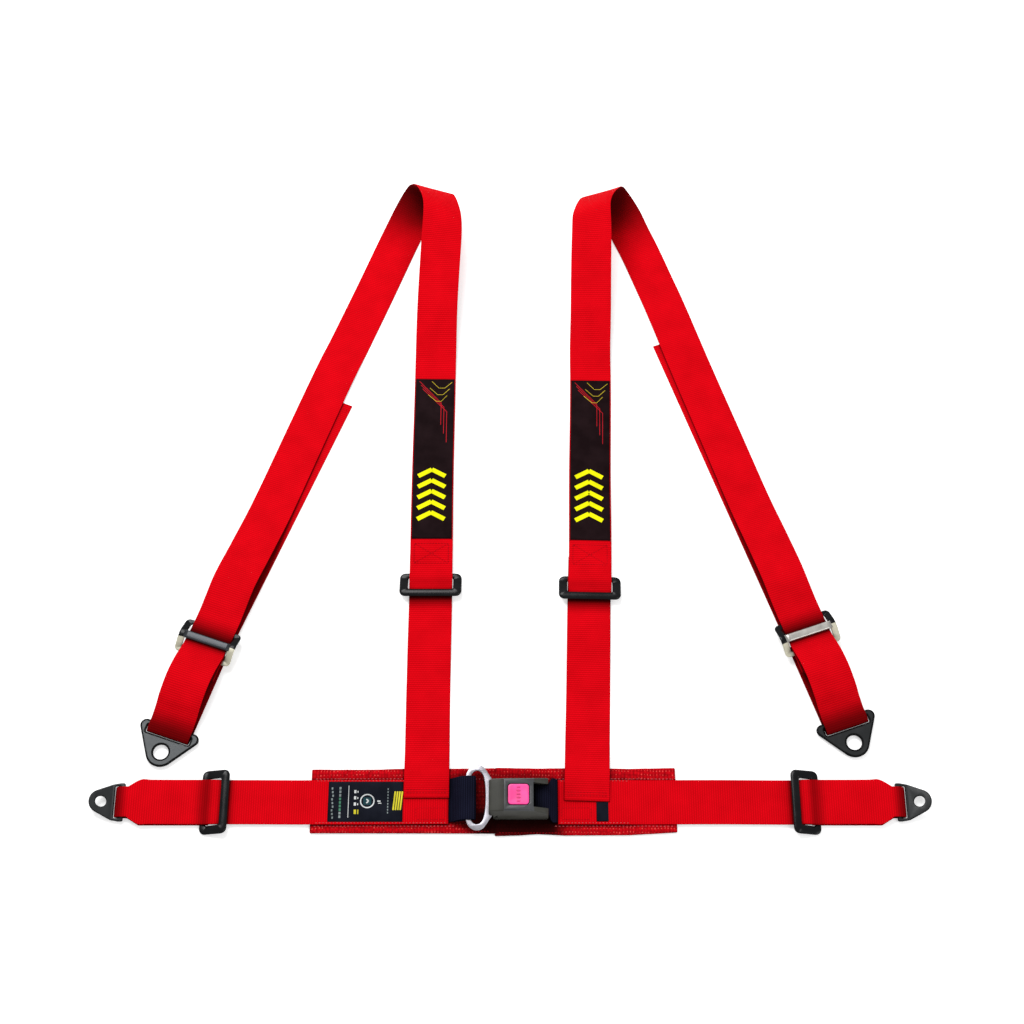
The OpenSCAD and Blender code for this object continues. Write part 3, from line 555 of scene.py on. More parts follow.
LOWER = {side: [[x, y, z, turn, 0] for (x, y, turn), z in zip(way, LOWER_LIE)] for side, way in LOWER_WAY.items()}
LAP_Y, LAP_SLIDE_X = -382.5, 325.0
TAB_TILT = 20  # the bend in a lap anchor plate, in degrees
LAP_HOLE_X = 449.5
LAP_REACH = LAP_HOLE_X - LAP_SLIDE_X - 11 - 12.5 * math.cos(math.radians(TAB_TILT))
REAR_SLIDE = {"left": (-345, -197.5, -19), "right": (340, -186.5, 19)}
REAR_TAIL = {"left": (-216, 123.2), "right": (200.4, 206.5)}
REAR_LIFT, REAR_REACH = 8.0, 107
SHOULDER_SLIDE = {"left": (-92.5, -124, 0), "right": (92.3, -128, -1.3)}


def place(x, y, turn):
    return Matrix.Translation((x * MM, y * MM, 0)) @ Matrix.Rotation(math.radians(turn), 4, "Z")


def end_loop(start, lift, arch, length, reach, end_w, hump, transform):
    """Strap end from a slide round an anchor's bar and back, drawn along -Y from the slide's middle.

    It starts start before the slide, lift above its rest, and arches up on its way. reach is the half length and
    half height of its turn round the anchor, where the webbing is end_w wide.
    """
    rise, span = reach
    bar, top = 0.8 + span, 6.4 + lift
    far = bar + span
    over = [(start, top - 0.1), (start - 5, top + 0.2 * hump)] if hump else [(start, top)]
    over += [(-5, top + hump), (-12, top + 0.3 * hump + 0.1 * arch), (-length * 0.3, top + arch * 0.8),
             (-length * 0.5, top + arch), (-length * 0.7, top + arch + (far - top - arch) * 0.3),
             (-length + 19, top + arch + (far - top - arch) * 0.7)]
    path = [[y, z, WIDTH] for y, z in over] + [[-length + 6, far + 0.2, end_w]]
    path = [list(p) for p in spline(path, 4)]
    for i in range(16):
        a = math.radians(12 * i)
        path.append([-length - rise * math.sin(a), bar + span * math.cos(a), end_w])
    path.append([-length + 6, 0.8, end_w])
    path += [[y, 0.8, WIDTH] for y in (-length + 19, -length * 0.4, -6)]
    return Strap([[0, y, z, 180, 0, w] for y, z, w in path], WIDTH, steps=0, transform=transform)


def lap_strap(side, sign):
    """Lap strap from the black webbing out to its slide, stepping down off the pad in an easy slope."""
    drop, start = (206, 67.7) if side == "left" else (122, 52.5)
    down = [[drop - 6 + 36 * k / 8, RAISED - (RAISED - 4.7) * smooth_step(k / 8)] for k in range(9)]
    stations = [[start, RAISED]] + down + [[LAP_SLIDE_X, 4.7], [LAP_SLIDE_X + 40, 4.7]]
    return Strap([[sign * x, LAP_Y, z, -90 * sign, 0] for x, z in stations], WIDTH, steps=0)


def band(side, piece, strap, body, node, **more):
    ribbon(f"{side}_{piece}_webbing", strap, "red", f"{side}_{body}", "webbing_red", [f"{side}_{node}"], **more)


straps = {}
# Each shade row is painted shade: darker webbing under and beside the slides' bars, round the anchors and on the inner
# face of the shoulder fold.
for side, sign in SIDES:
    shoulder = Strap(SHOULDER[side], WIDTH, soft_above=260)
    crest = shoulder.s[np.argmax(shoulder.mid[:, 1])]
    band(side, "shoulder", shoulder, "shoulder", "shoulder_strap", wave=0.10 * MM, seed=sign + 3,
         shade=[(shoulder.length / MM - 44, 30, 17, 0.97, 0), (crest / MM + 8, 45, 95, 0.9, -1), (17, 10, 9, 0.2, 0)])
    lower = Strap(LOWER[side], WIDTH)
    under_slide = lower.s_at_y(SHOULDER_SLIDE[side][1] - 14) / MM
    band(side, "lower", lower, "belt", "lower_strap", wave=0.08 * MM, seed=sign + 8,
         shade=[(under_slide, 20, 10, 0.8, 0)])
    lap = lap_strap(side, sign)
    band(side, "lap", lap, "belt", "lap_strap", wave=0.05 * MM, seed=sign + 14,
         shade=[(lap.length / MM - 49, 12, 10, 0.5, 0)])
    lap_loop = end_loop(11, 0, 0.3, LAP_REACH, (7.4, 3.7), 34, 0.9, place(sign * LAP_SLIDE_X, LAP_Y, 90 * sign))
    band(side, "lap_end", lap_loop, "lap_end", "lap_end_loop", seed=sign + 20, step=1.6 * MM,
         shade=[(20, 9, 16, 0.6, 0), (LAP_REACH + 15, 12, 20, 0.7, 0)])
    rear_loop = end_loop(3, REAR_LIFT, 12, REAR_REACH, (10.7, 4.1), WIDTH, 0.0, place(*REAR_SLIDE[side]))
    band(side, "rear_end", rear_loop, "rear", "rear_end_loop", seed=sign + 26, step=1.6 * MM,
         shade=[(5, 6, 11, 0.7, 0), (121, 30, 60, 0.85, 0)])
    start, end = np.array(REAR_SLIDE[side][:2]), np.array(REAR_TAIL[side])
    turn = math.degrees(math.atan2(*(end - start)[::-1])) - 90
    start_2 = start + 2 * (end - start) / np.linalg.norm(end - start)
    tail = Strap([[*p, 0.8, turn, 0] for p in (start_2, (start + end) / 2, end)], WIDTH, steps=8)
    band(side, "tail", tail, "rear", "rear_tail", seed=sign + 32)
    straps[side] = shoulder, lower, lap, tail


# ---------------------------------------------------------------- hardware

def loop_outline(w, h, r, y=0.0, corner=5, straight=6):
    """Round-cornered outline with extra points on its straights, so that its height can change along them."""
    corners = []
    for sx, sy, first in ((1, 1, 0), (-1, 1, 90), (-1, -1, 180), (1, -1, 270)):
        turn = [math.radians(first + 90 * k / corner) for k in range(corner + 1)]
        corners.append([(sx * (w / 2 - r) + r * math.cos(a), y + sy * (h / 2 - r) + r * math.sin(a)) for a in turn])
    out = []
    for i in range(4):
        out += corners[i]
        a, b = np.array(corners[i][-1]), np.array(corners[(i + 1) % 4][0])
        out += [tuple(a + (b - a) * k / straight) for k in range(1, straight)]
    return np.array(out)


def rounded(power, around):
    """Points of a section from round (1) to nearly square (0), on a unit square."""
    squeeze = lambda q: math.copysign(abs(q) ** power, q)
    turn = [2 * math.pi * j / around for j in range(around)]
    return [(squeeze(math.cos(a)), squeeze(math.sin(a))) for a in turn]


def swept_frame(name, outer, inner, mid, half, mats, pick, power=0.55, around=16):
    """A closed frame between two outlines, with a rounded section whose height follows y."""
    verts, face_mats = [], []
    for a, b in zip(outer, inner):
        c, d = (a + b) / 2, (a - b) / 2
        verts += [(*(c + d * ex), mid(c[1]) + half(c[1]) * ez) for ex, ez in rounded(power, around)]
        face_mats += [pick(c[1])] * around
    faces = [[v % len(verts) for v in f] for f in tube_faces(len(outer) + 1, around, capped=False)]
    return mesh_object(name, np.array(verts) * MM, faces, mats, face_mats)


def beam(name, length, half_y, half_z, z, mats, power=0.55, around=20, across=12):
    """A straight bar along X with a rounded section."""
    verts = [(length * (i / across - 0.5), half_y * ey, z + half_z * ez)
             for i in range(across + 1) for ey, ez in rounded(power, around)]
    return mesh_object(name, np.array(verts) * MM, tube_faces(across + 1, around), mats)


def outline_of(circles, steps=48):
    """The outline that a tight band round some circles takes."""
    pts = sorted({(round(x, 5), round(y, 5)) for c in circles for x, y in circle(*c, steps)})
    halves = []
    for run in (pts, pts[::-1]):
        hull = []
        for p in run:
            while len(hull) > 1 and right_turn(*hull[-2:], p):
                hull.pop()
            hull.append(p)
        halves += hull[:-1]
    return halves


def right_turn(a, b, c):
    return (b[0] - a[0]) * (c[1] - a[1]) - (b[1] - a[1]) * (c[0] - a[0]) <= 0


def circle(x, y, r, steps=48):
    turn = [2 * math.pi * k / steps for k in range(steps)]
    return [(x + r * math.cos(a), y + r * math.sin(a)) for a in turn]


def evaluated(obj):
    bpy.context.view_layer.update()
    return bpy.data.meshes.new_from_object(obj.evaluated_get(bpy.context.evaluated_depsgraph_get()))


def plate(name, outlines, thickness, bevel, mats):
    """A pressed plate with holes, its edges rounded, lying about z = 0. The last material is its rim's."""
    curve = bpy.data.curves.new(name, "CURVE")
    curve.dimensions, curve.fill_mode = "2D", "BOTH"
    for outline in outlines:
        line = curve.splines.new("POLY")
        line.points.add(len(outline) - 1)
        for p, (x, y) in zip(line.points, outline):
            p.co = (x * MM, y * MM, 0, 1)
        line.use_cyclic_u = True
    curve.extrude, curve.bevel_depth = (thickness / 2 - bevel) * MM, bevel * MM
    curve.bevel_resolution, curve.offset = 3, -bevel * MM
    shape = new_object(name, curve)
    mesh = evaluated(shape)
    bpy.data.objects.remove(shape)
    mesh.materials.clear()
    for m in mats:
        mesh.materials.append(M[m])
    for p in mesh.polygons:
        p.material_index = len(mats) - 1 if abs(p.normal.z) < 0.97 else 0
    with editing(mesh) as bm:
        bmesh.ops.remove_doubles(bm, verts=bm.verts, dist=0.00001)
    return new_object(name, mesh)


def dark_rim(obj, width):
    """Gives a plate's top face a band of its rim's material along every edge."""
    with editing(obj.data) as bm:
        top = [f for f in bm.faces if f.normal.z > 0.97]
        rim = bmesh.ops.inset_region(bm, faces=top, thickness=width, use_boundary=True, use_even_offset=True)["faces"]
        for f in rim:
            f.material_index = 1


def crease(obj, angle=35):
    """Keeps corners sharper than angle crisp under smooth shading."""
    with editing(obj.data) as bm:
        for e in bm.edges:
            e.smooth = len(e.link_faces) != 2 or e.calc_face_angle(0) < math.radians(angle)
    return obj


def swap_mesh(obj):
    """Applies the object's modifiers."""
    mesh = evaluated(obj)
    obj.modifiers.clear()
    obj.data = mesh
    return obj


def cut(obj, *cutters):
    for c in cutters:
        mod = obj.modifiers.new("cut", "BOOLEAN")
        mod.operation, mod.object, mod.solver = "DIFFERENCE", c, "EXACT"
        swap_mesh(obj)
        bpy.data.objects.remove(c)
    return obj


def block(lo, hi):
    x, y, z = ([a * MM, b * MM] for a, b in zip(lo, hi))
    verts = [(x[i], y[j], z[k]) for i in (0, 1) for j in (0, 1) for k in (0, 1)]
    faces = [(0, 1, 3, 2), (4, 6, 7, 5), (0, 4, 5, 1), (2, 3, 7, 6), (0, 2, 6, 4), (1, 5, 7, 3)]
    return mesh_object("cutter", verts, faces, ["housing"])


def ramp_between(a, b, low, high):
    return lambda y: low + (high - low) * min(max((y - a) / (b - a), 0.0), 1.0)


def two_bar_slide(node, body, transform):
    outer, inner = loop_outline(72, 31, 6.5), loop_outline(52.4, 16, 2.0, y=-1.5)
    obj = swept_frame(f"{node}_frame", outer, inner, ramp_between(-9, 8, 2.7, 9.1), ramp_between(-9, 8, 1.0, 1.7),
                      ["black"], lambda y: 0, power=0.88)
    return finish_piece(set_mesh(obj, transform), body, [node])


def three_bar_slide(side, transform):
    lifted = transform @ Matrix.Translation((0, 0, REAR_LIFT * MM))
    outer, inner = loop_outline(68, 40, 5.0), loop_outline(52.4, 30, 2.0)
    mid, half = ramp_between(3, 16, 9.1, 2.7), ramp_between(3, 16, 1.7, 1.0)
    # The ring's lower half is cream, its upper half black.
    ring = swept_frame(f"{side}_rear_slide_ring", outer, inner, lambda y: mid(abs(y)), lambda y: half(abs(y)),
                       ["black", "cream"], lambda y: int(y < -1.5))
    finish_piece(set_mesh(ring, lifted), f"{side}_rear", [f"{side}_rear_slide"])
    # The right slide's bar takes a pale copy of the bar steel, a painted highlight; the left's stays dark.
    bar = beam(f"{side}_rear_slide_bar", 56, 4.5, 1.7, 9.1, ["bar" if side == "left" else "lit_bar"])
    finish_piece(set_mesh(bar, lifted), f"{side}_rear")


def lap_anchor(side, transform):
    corners = [(x, y, 2.0) for x, y in ((19.5, 0.2), (19.5, -3), (18, -11))]
    outline = outline_of(corners + [(-x, y, r) for x, y, r in corners] + [(0, -23.5, 13.2)])
    obj = plate(f"{side}_lap_anchor_plate", [outline, loop_outline(36, 6.4, 1.5, y=-5.5), circle(0, -23.5, 6)],
                3.0, 1.0, ["dark_anchor", "rim"])
    start, bend, most = -9.6 * MM, 3 * MM, math.radians(TAB_TILT)
    with editing(obj.data) as bm:
        for k in range(6):
            bmesh.ops.bisect_plane(bm, geom=bm.verts[:] + bm.edges[:] + bm.faces[:],
                                   plane_co=(0, start - bend * k / 5, 0), plane_no=(0, 1, 0))
        r = bend / most
        for v in bm.verts:
            run = start - v.co.y
            if run > 0:
                angle, rest = most * min(run / bend, 1.0), max(run - bend, 0)
                y = start - r * math.sin(angle) - rest * math.cos(most)
                z = r * (1 - math.cos(angle)) + rest * math.sin(most)
                v.co.y, v.co.z = y + v.co.z * math.sin(angle), z + v.co.z * math.cos(angle)
    set_mesh(obj, transform)
    return finish_piece(crease(obj), f"{side}_lap_tab", [f"{side}_lap_anchor"])


def rear_anchor(side, transform):
    outline = outline_of([(-28, -4.25, 7), (28, -4.25, 7), (0, -28.2, 17)])
    # The two rear anchors are one part; the left takes the lighter anchor coating and the right the darker copy:
    # painted light and shade by side.
    obj = plate(f"{side}_rear_anchor_plate", [outline, loop_outline(52.4, 8.95, 2.0, y=-7.2), circle(0, -28.2, 8.5)],
                3.0, 1.25, ["anchor" if side == "left" else "dark_anchor", "rim"])
    dark_rim(obj, 1.3 * MM)
    set_mesh(obj, transform)
    return finish_piece(crease(obj), f"{side}_rear_tab", [f"{side}_rear_anchor"])


for side, sign in SIDES:
    at_lap = place(sign * LAP_SLIDE_X, LAP_Y, 90 * sign)
    two_bar_slide(f"{side}_lap_slide", f"{side}_lap_end", at_lap)
    x, y, turn = SHOULDER_SLIDE[side]
    two_bar_slide(f"{side}_shoulder_slide", f"{side}_shoulder", place(x, y, turn + 180))
    at_rear = place(*REAR_SLIDE[side])
    three_bar_slide(side, at_rear)
    lap_anchor(side, at_lap @ Matrix.Translation((0, -LAP_REACH * MM, 4.5 * MM)))
    rear_anchor(side, at_rear @ Matrix.Translation((0, -REAR_REACH * MM, 4.9 * MM)))


# ---------------------------------------------------------------- buckle

B = -380.0  # the middle of the buckle, in y
BUTTON_X = 9.1


def loft(name, stations, mats, pick):
    """A closed body through sections across X, each a list of (y, z)."""
    m = len(stations[0][1])
    verts = [(x, B + y, z) for x, section in stations for y, z in section]
    face_mats = [pick(a[0], b[0], k) for a, b in zip(stations[:-1], stations[1:]) for k in range(m)] + [0, 0]
    return mesh_object(name, np.array(verts) * MM, tube_faces(len(stations), m), mats, face_mats)


def cover_section(top, base, half_base, half_top, r):
    """Half outline from the base up the leaning side and over the rounded edge, mirrored."""
    slope = math.atan2(half_base - half_top, top - base)
    arc = []
    for k in range(6):
        a = slope + (math.pi / 2 - slope) * k / 5
        arc.append((half_top - r * math.cos(slope) + r * math.cos(a), top - r + r * math.sin(a)))
    bulge = (half_base - 0.35 * (half_base - half_top), base + 0.35 * (top - base))
    side = [(half_base, base), bulge] + arc + [(half_top * 0.5, top), (0, top)]
    return side + [(-y, z) for y, z in side[-2::-1]]


# Where a section stands, how high it is, and half its width on top
TOP_LINE = [
    (-23.4, 22.2, 17.0), (-22.8, 22.9, 17.6), (-20, 23.8, 18.0), (-14, 25.3, 18.3), (-7.6, 26.9, 18.4),
    (-7.0, 27.3, 18.5), (-6.6, 27.9, 18.4), (-6.0, 28.0, 18.3), (10, 28.0, 18.3), (25.0, 28.0, 18.3),
    (25.6, 27.8, 18.4), (26.2, 27.4, 18.6), (32, 24.9, 19.4), (38, 22.2, 20.3), (41.0, 20.8, 20.6),
    (41.7, 20.0, 20.2)]
stations = []
for x, z, half_top in TOP_LINE:
    half = 22.2 - (0.9 if x < -20 else 0) - (1.0 if x > 41.2 else 0)
    stations.append((x, cover_section(z, 13.05, half, half_top, 2.0)))
top_cover = loft("buckle_top_shell", stations, ["housing", "panel"],
                 lambda a, b, k: int(a >= -7.1 and b <= 26.3 and 3 <= k <= 15))
hole = plate("cutter", [loop_outline(24.4, 24.4, 4.0)], 12, 0.01, ["housing"])
hole.data.transform(Matrix.Translation((BUTTON_X * MM, B * MM, 29 * MM)))
cut(top_cover, hole,
    block((-16.5, B - 17.6, 10), (-6.5, B + 17.6, 22.3)),
    block((-7, B - 17.6, 10), (24.5, B + 17.6, 25.6)),
    block((-30, B - 30, 10), (-18.5, B + 30, 17.0)),
    block((-19, B - 14, 12.9), (-15, B + 14, 17.3)),
    block((25.4, B - 13.6, 11), (50, B + 13.6, 40)),
    block((24, B - 17, 12), (50, B + 17, 20)))
bevel = top_cover.modifiers.new("edge", "BEVEL")
bevel.width, bevel.segments, bevel.limit_method, bevel.angle_limit = 0.35 * MM, 2, "ANGLE", math.radians(40)
swap_mesh(top_cover)
finish_piece(crease(top_cover, 50), "right_belt", ["buckle_top_cover"])

bottom = []
for x, low, half in ((-18.5, 5.6, 21.0), (-17.6, 4.6, 22.0), (-15, 4.35, 22.5), (10, 4.35, 22.5), (38, 4.35, 22.5),
                     (41, 4.8, 22.2), (41.7, 5.8, 21.2)):
    side_pts = [(half - 1.6, low), (half - 0.6, low + 0.5), (half, low + 1.8), (half, 12.0), (half - 0.3, 12.95)]
    bottom.append((x, side_pts + [(-y, z) for y, z in side_pts[::-1]]))
bottom_cover = loft("buckle_bottom_shell", bottom, ["housing"], lambda a, b, k: 0)
cut(bottom_cover,
    block((-16.5, B - 20, 6.35), (39.7, B + 20, 14)),
    block((30, B - 17, 7), (50, B + 17, 14)))
finish_piece(crease(bottom_cover, 40), "right_belt", ["buckle_bottom_cover"])


def pillow(name, outline, levels, centre, mats):
    """Concentric rings of an outline: (scale, z) from the foot of its wall to near its middle."""
    cx, cy = centre
    verts = [(cx + x * f, cy + y * f, z) for f, z in levels for x, y in outline]
    return mesh_object(name, np.array(verts) * MM, tube_faces(len(levels), len(outline)), mats)


levels = [(1, 24.2), (1, 28.2), (0.99, 28.65), (0.965, 28.93), (0.93, 29.0), (0.8, 28.95), (0.55, 28.8), (0.3, 28.7),
          (0.08, 28.68)]
button = pillow("button_cap", loop_outline(22.9, 22.9, 3.4), levels, (BUTTON_X, B), ["pink"])
cut(button, block((BUTTON_X - 10.3, B - 9.5, 20), (BUTTON_X + 10.3, B + 9.5, 26.2)))
finish_piece(button, "button", ["release_button"])
for k in range(5):
    rib = pillow(f"button_rib_{k}", loop_outline(4.2, 1.5, 0.7, corner=3, straight=2),
                 [(1, 28.4), (1, 28.95), (0.8, 29.1), (0.3, 29.15)], (BUTTON_X, B + (k - 2) * 3.9), ["mark"])
    finish_piece(rib, "button")

ring_line = [(-49.6, 0), (-49.6, 12), (-49.3, 20), (-48.2, 27), (-45, 32.5), (-40, 35.8), (-35, 36.5), (-30.5, 35),
             (-27, 31.5), (-22.5, 24.5), (-19.5, 20.3)]
ring_half = [tuple(p) for p in spline(ring_line, 3)] + [(-19.5, 13), (5, 13), (8, 10)]
slot_line = [(-43, 0), (-43, 22), (-41.5, 27), (-38, 29.8), (-33.5, 29.2), (-29.6, 24), (-27.6, 14), (-27, 0)]
slot_half = spline(slot_line, 3)


def mirrored(points):
    """A whole outline from its half on the side of positive y."""
    return list(points) + [(x, -y) for x, y in points[::-1] if y > 0.001]


latch_hole = [(-2, -6), (3, -6), (3, 6), (-2, 6)]
tongue = plate("tongue_ring", [mirrored(ring_half), mirrored(slot_half), latch_hole], 2.5, 0.75, ["chrome"])
set_mesh(tongue, Matrix.Translation((0, B * MM, 15.05 * MM)))
finish_piece(crease(tongue, 40), "left_belt", ["tongue_plate"])

TONGUE_WEB = [[-114, 4.8], [-80, 4.8], [-69.5, 4.85], [-65.5, 5.8], [-59, 12], [-52, 16.8], [-42.2, 17.4],
              [-39.3, 16.9], [-38, 15.05], [-39.3, 13.1], [-42.2, 12.5], [-51, 11.2], [-56.5, 8.1], [-60.5, 5.6],
              [-63, 5]]
BUCKLE_WEB = [[114, 4.8], [70, 4.8], [54.5, 4.85], [51, 5.8], [46, 9], [41, 12.2], [36, 14.3], [30, 14.5], [26.6, 13.9],
              [25.7, 12.2], [26.6, 10.5], [30, 9.9], [36, 9.5], [41, 8.8], [45, 6.6], [47.5, 5.2], [49, 4.9]]
flare = ramp_between(42, 45.5, 32, 49)
for end, body, route in (("tongue", "left_belt", [[x, -380.5, z, -90, 0] for x, z in TONGUE_WEB]),
                         ("buckle", "right_belt", [[x, -381, z, 90, 0, flare(x)] for x, z in BUCKLE_WEB])):
    ribbon(f"{end}_webbing", Strap(route, 49, steps=5), "navy", body, "webbing_black", [f"{end}_web_loop"],
           step=1.2 * MM)

for node, mat in (("buckle_frame", "steel"), ("buckle_rivets", "steel"), ("latch_pawl", "steel"),
                  ("ejector", "steel"), ("button_spring", "spring"), ("ejector_springs", "spring")):
    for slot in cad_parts[node].material_slots:
        slot.material = M[mat]


# ---------------------------------------------------------------- pads

LAP_TOP, LAP_BOTTOM = LAP_Y + 25, LAP_Y - 25
MOST_PUFF = 2.4
PAD_GRID = (80, 30)
# The x of both ends at the low and the high edge, then the two edges
PADS = {
    "left": (((-219.5, -220), (-16.1, -16.1)), [(-220, -417), (-16, -417.4)],
             [(-220, -344.2), (-190, -344.5), (-150, -344.3), (-110, -342.9), (-60, -343.2), (-17, -342.7)]),
    "right": (((-17.1, -17.1), (183, 183)),
              [(-17.2, -420.2), (10, -419.4), (30, -418.0), (60, -419.6), (130, -419.2), (183, -416)],
              [(-17, -342.2), (30, -343.0), (60, -342.6), (90, -342.4), (130, -343.4), (183, -342.5)]),
}


def room_for_pad(side, x, y):
    """Height a pad may reach at a point, so that it stays clear of what lies on it."""
    if abs(y - LAP_Y) > 26.5:
        return 4.6 if -75 < x < 62 and abs(y - B) < 31 else 5.3
    return 5.2 if side == "left" and -198 < x < -120 else 3.9


def bag(ends, low, high):
    """Points and faces of a flat closed bag between a low and a high edge."""
    def edge_point(u, v):
        x0, x1 = (a + (b - a) * v for a, b in ends)
        x = x0 * (1 - u) + x1 * u
        y0, y1 = np.interp(x, *zip(*low)), np.interp(x, *zip(*high))
        return x, y0 + (y1 - y0) * v

    nx, ny = PAD_GRID
    verts = []
    for z in (0.5, 3.2):
        for i in range(nx + 1):
            for j in range(ny + 1):
                u, v = 0.5 - 0.5 * (1 - 2 * i / nx) * 0.998, 0.5 - 0.5 * (1 - 2 * j / ny) * 0.978
                verts.append((*edge_point(u, v), z))
    rim = ([(i, 0) for i in range(nx)] + [(nx, j) for j in range(ny)]
           + [(i, ny) for i in range(nx, 0, -1)] + [(0, j) for j in range(ny, 0, -1)])
    middle = range(len(verts), len(verts) + len(rim))
    verts += [(*edge_point(i / nx, j / ny), 1.9) for i, j in rim]
    at = lambda layer, i, j: (layer * (nx + 1) + i) * (ny + 1) + j
    faces = []
    for i in range(nx):
        for j in range(ny):
            faces.append([at(1, i, j), at(1, i + 1, j), at(1, i + 1, j + 1), at(1, i, j + 1)])
            faces.append([at(0, i, j), at(0, i, j + 1), at(0, i + 1, j + 1), at(0, i + 1, j)])
    for k in range(len(rim)):
        n = (k + 1) % len(rim)
        faces.append([at(0, *rim[k]), at(0, *rim[n]), middle[n], middle[k]])
        faces.append([middle[k], middle[n], at(1, *rim[n]), at(1, *rim[k])])
    return np.array(verts), faces


def puff(obj):
    """Blows a bag up with a cloth simulation, its held points staying where they are."""
    mod = obj.modifiers.new("puff", "CLOTH")
    mod.settings.quality, mod.settings.mass = 6, 0.25
    mod.settings.tension_stiffness = mod.settings.compression_stiffness = 12
    mod.settings.bending_stiffness = 0.4
    mod.settings.use_pressure, mod.settings.uniform_pressure_force = True, 4.0
    mod.settings.effector_weights.gravity = 0.0
    mod.settings.vertex_group_mass = "held"
    mod.collision_settings.use_self_collision = False
    mod.point_cache.frame_start, mod.point_cache.frame_end = 1, 20
    for step in range(1, 21):
        bpy.context.scene.frame_set(step)
    swap_mesh(obj)
    bpy.context.scene.frame_set(1)


def pad(side, seed):
    """A pad of coarse cloth, puffed up around the straps that hold it down."""
    start, faces = bag(*PADS[side])
    obj = mesh_object(f"{side}_pad_cloth", start * MM, faces, ["pad"])
    held = [i for i, (x, y, z) in enumerate(start) if z < 1 or abs(y - LAP_Y) < 21]
    obj.vertex_groups.new(name="held").add(held, 1.0, "REPLACE")
    puff(obj)
    phase = np.random.default_rng(seed).uniform(0, 6.28, 6)
    for flat, v in zip(start, obj.data.vertices):
        move = np.array(v.co) / MM - flat
        x, y, z = flat + move * min(1.0, MOST_PUFF / max(np.linalg.norm(move), MM))
        if z > 1.2:
            ripple = (0.45 * math.sin(x * 0.42 + phase[0]) * math.sin(x * 0.17 + phase[1])
                      + 0.25 * math.sin(x * 1.13 + phase[2] + y * 0.6))
            z += smooth_step((abs(y - LAP_Y) - 24) / 4) * (0.55 + ripple)
            z = min(z, room_for_pad(side, x, y))
        v.co = (x * MM, y * MM, max(z, 0.05) * MM)
    sub = obj.modifiers.new("smooth", "SUBSURF")
    sub.levels = sub.render_levels = 1
    set_mesh(swap_mesh(obj))
    # Dark where the buckle and the tongue keep the light off
    obj.data.attributes.new("shade", "FLOAT", "POINT")
    for v, mark in zip(obj.data.vertices, obj.data.attributes["shade"].data):
        x, y = v.co.x / MM, v.co.y / MM
        near = smooth_step(1.3 - max(abs(x - 8) - 30, 0) / 26) * smooth_step(1.6 - abs(y - B + 26) / 15)
        mark.value = 0.97 * near
    finish_piece(obj, f"{side}_belt", [f"{side}_pad"])
    return obj


def surface_line(obj, points, lift):
    """Points dropped onto a piece from above, with the surface's normals, for sewing on it."""
    path = np.array(points, float)
    cum = run_of(path)
    q = np.linspace(0, cum[-1], int(cum[-1] / 1.5) + 2)
    out, normals = [], []
    for x, y in zip(np.interp(q, cum, path[:, 0]), np.interp(q, cum, path[:, 1])):
        hit, spot, normal, _ = obj.ray_cast(Vector((x * MM, y * MM, 0.05)), Vector((0, 0, -1)))
        if hit:
            out.append(np.array(spot) + np.array(normal) * lift)
            normals.append(np.array(normal))
    return np.array(out), np.array(normals)


pads = {"left": pad("left", 21), "right": pad("right", 22)}
for side, cloth in pads.items():
    ends, under, low = ((-216, -20), (-216, -58), -414.8) if side == "left" else ((-13, 180), (48, 180), -416.6)
    rows = [[(x, LAP_TOP + 1.6) for x in ends], [(x, LAP_BOTTOM - 1.6) for x in under]]
    thread(f"{side}_pad_rows", [surface_line(cloth, row, 0.05 * MM) for row in rows], "pale_thread",
           f"{side}_belt", "pad_red", length=2.2 * MM, gap=1.9 * MM, radius=0.3 * MM)
    hem = [[(x, y) for x in ends] for y in (-345.2, low)]
    thread(f"{side}_pad_hem", [surface_line(cloth, row, 0.0) for row in hem], "thread",
           f"{side}_belt", "pad_red", radius=0.25 * MM)


# ---------------------------------------------------------------- labels and sewing

TOP = THICK / 2 * MM


def marks(end, points, width):
    """Bars from point to point, each point in mm from a label's end and across the strap."""
    pts = [(end - q * MM, u * MM) for q, u in points]
    return [(a, b, width * MM) for a, b in zip(pts, pts[1:])]


def printed(prefix, strap, body, prints):
    """Printed marks on a label, from rows of name, shapes, material and thickness in mm."""
    return [decal(f"{prefix}_{name}", strap, shapes, mat, body, 1.05 * MM, thick * MM).name
            for name, shapes, mat, thick in prints]


def sew(name, strap, paths, body, lift, mat="thread", **more):
    """Sewn rows on a strap, along paths of (s, u) in mm."""
    thread(name, [along_strap(strap, path, lift) for path in paths], mat, body, "webbing_red", **more)


def shoulder_label(side, shoulder, span, seed):
    """A long label with plain chevrons and thin lines."""
    body, end = f"{side}_shoulder", span[1]
    label = ribbon(f"{side}_shoulder_label_cloth", shoulder, "label", body, "label", [f"{side}_shoulder_label"],
                   t=0.4 * MM, span=span, trim=1.5 * MM, lift=0.92 * MM, wave=0.10 * MM, seed=seed)
    chevrons, gold, red = [], [], []
    for k in range(5):
        foot = 190 - k * 14.5
        chevrons += marks(end, [(foot, -17.5), (foot - 9, -1.4), (foot, 14.7)], 5.6)
    for k in range(3):
        gold += marks(end, [(4 + 9 * k, 21 - 3.0 * k), (12 + 9 * k, 12 - 2.0 * k), (12 + 9 * k, 5 - 1.5 * k),
                            (3 + 9 * k, -4 - 2.0 * k)], 0.55)
        red += marks(end, [(3 + 5 * k, -19 + 2.0 * k), (32 + 6 * k, 8 + 3.5 * k), (62 + 12 * k, 8 + 3.5 * k)], 0.6)
    names = printed(f"{side}_label", shoulder, body, [
        ("chevrons", chevrons, "yellow", 0.26), ("gold_lines", gold, "gold", 0.2),
        ("red_lines", red, "red_print", 0.16)])


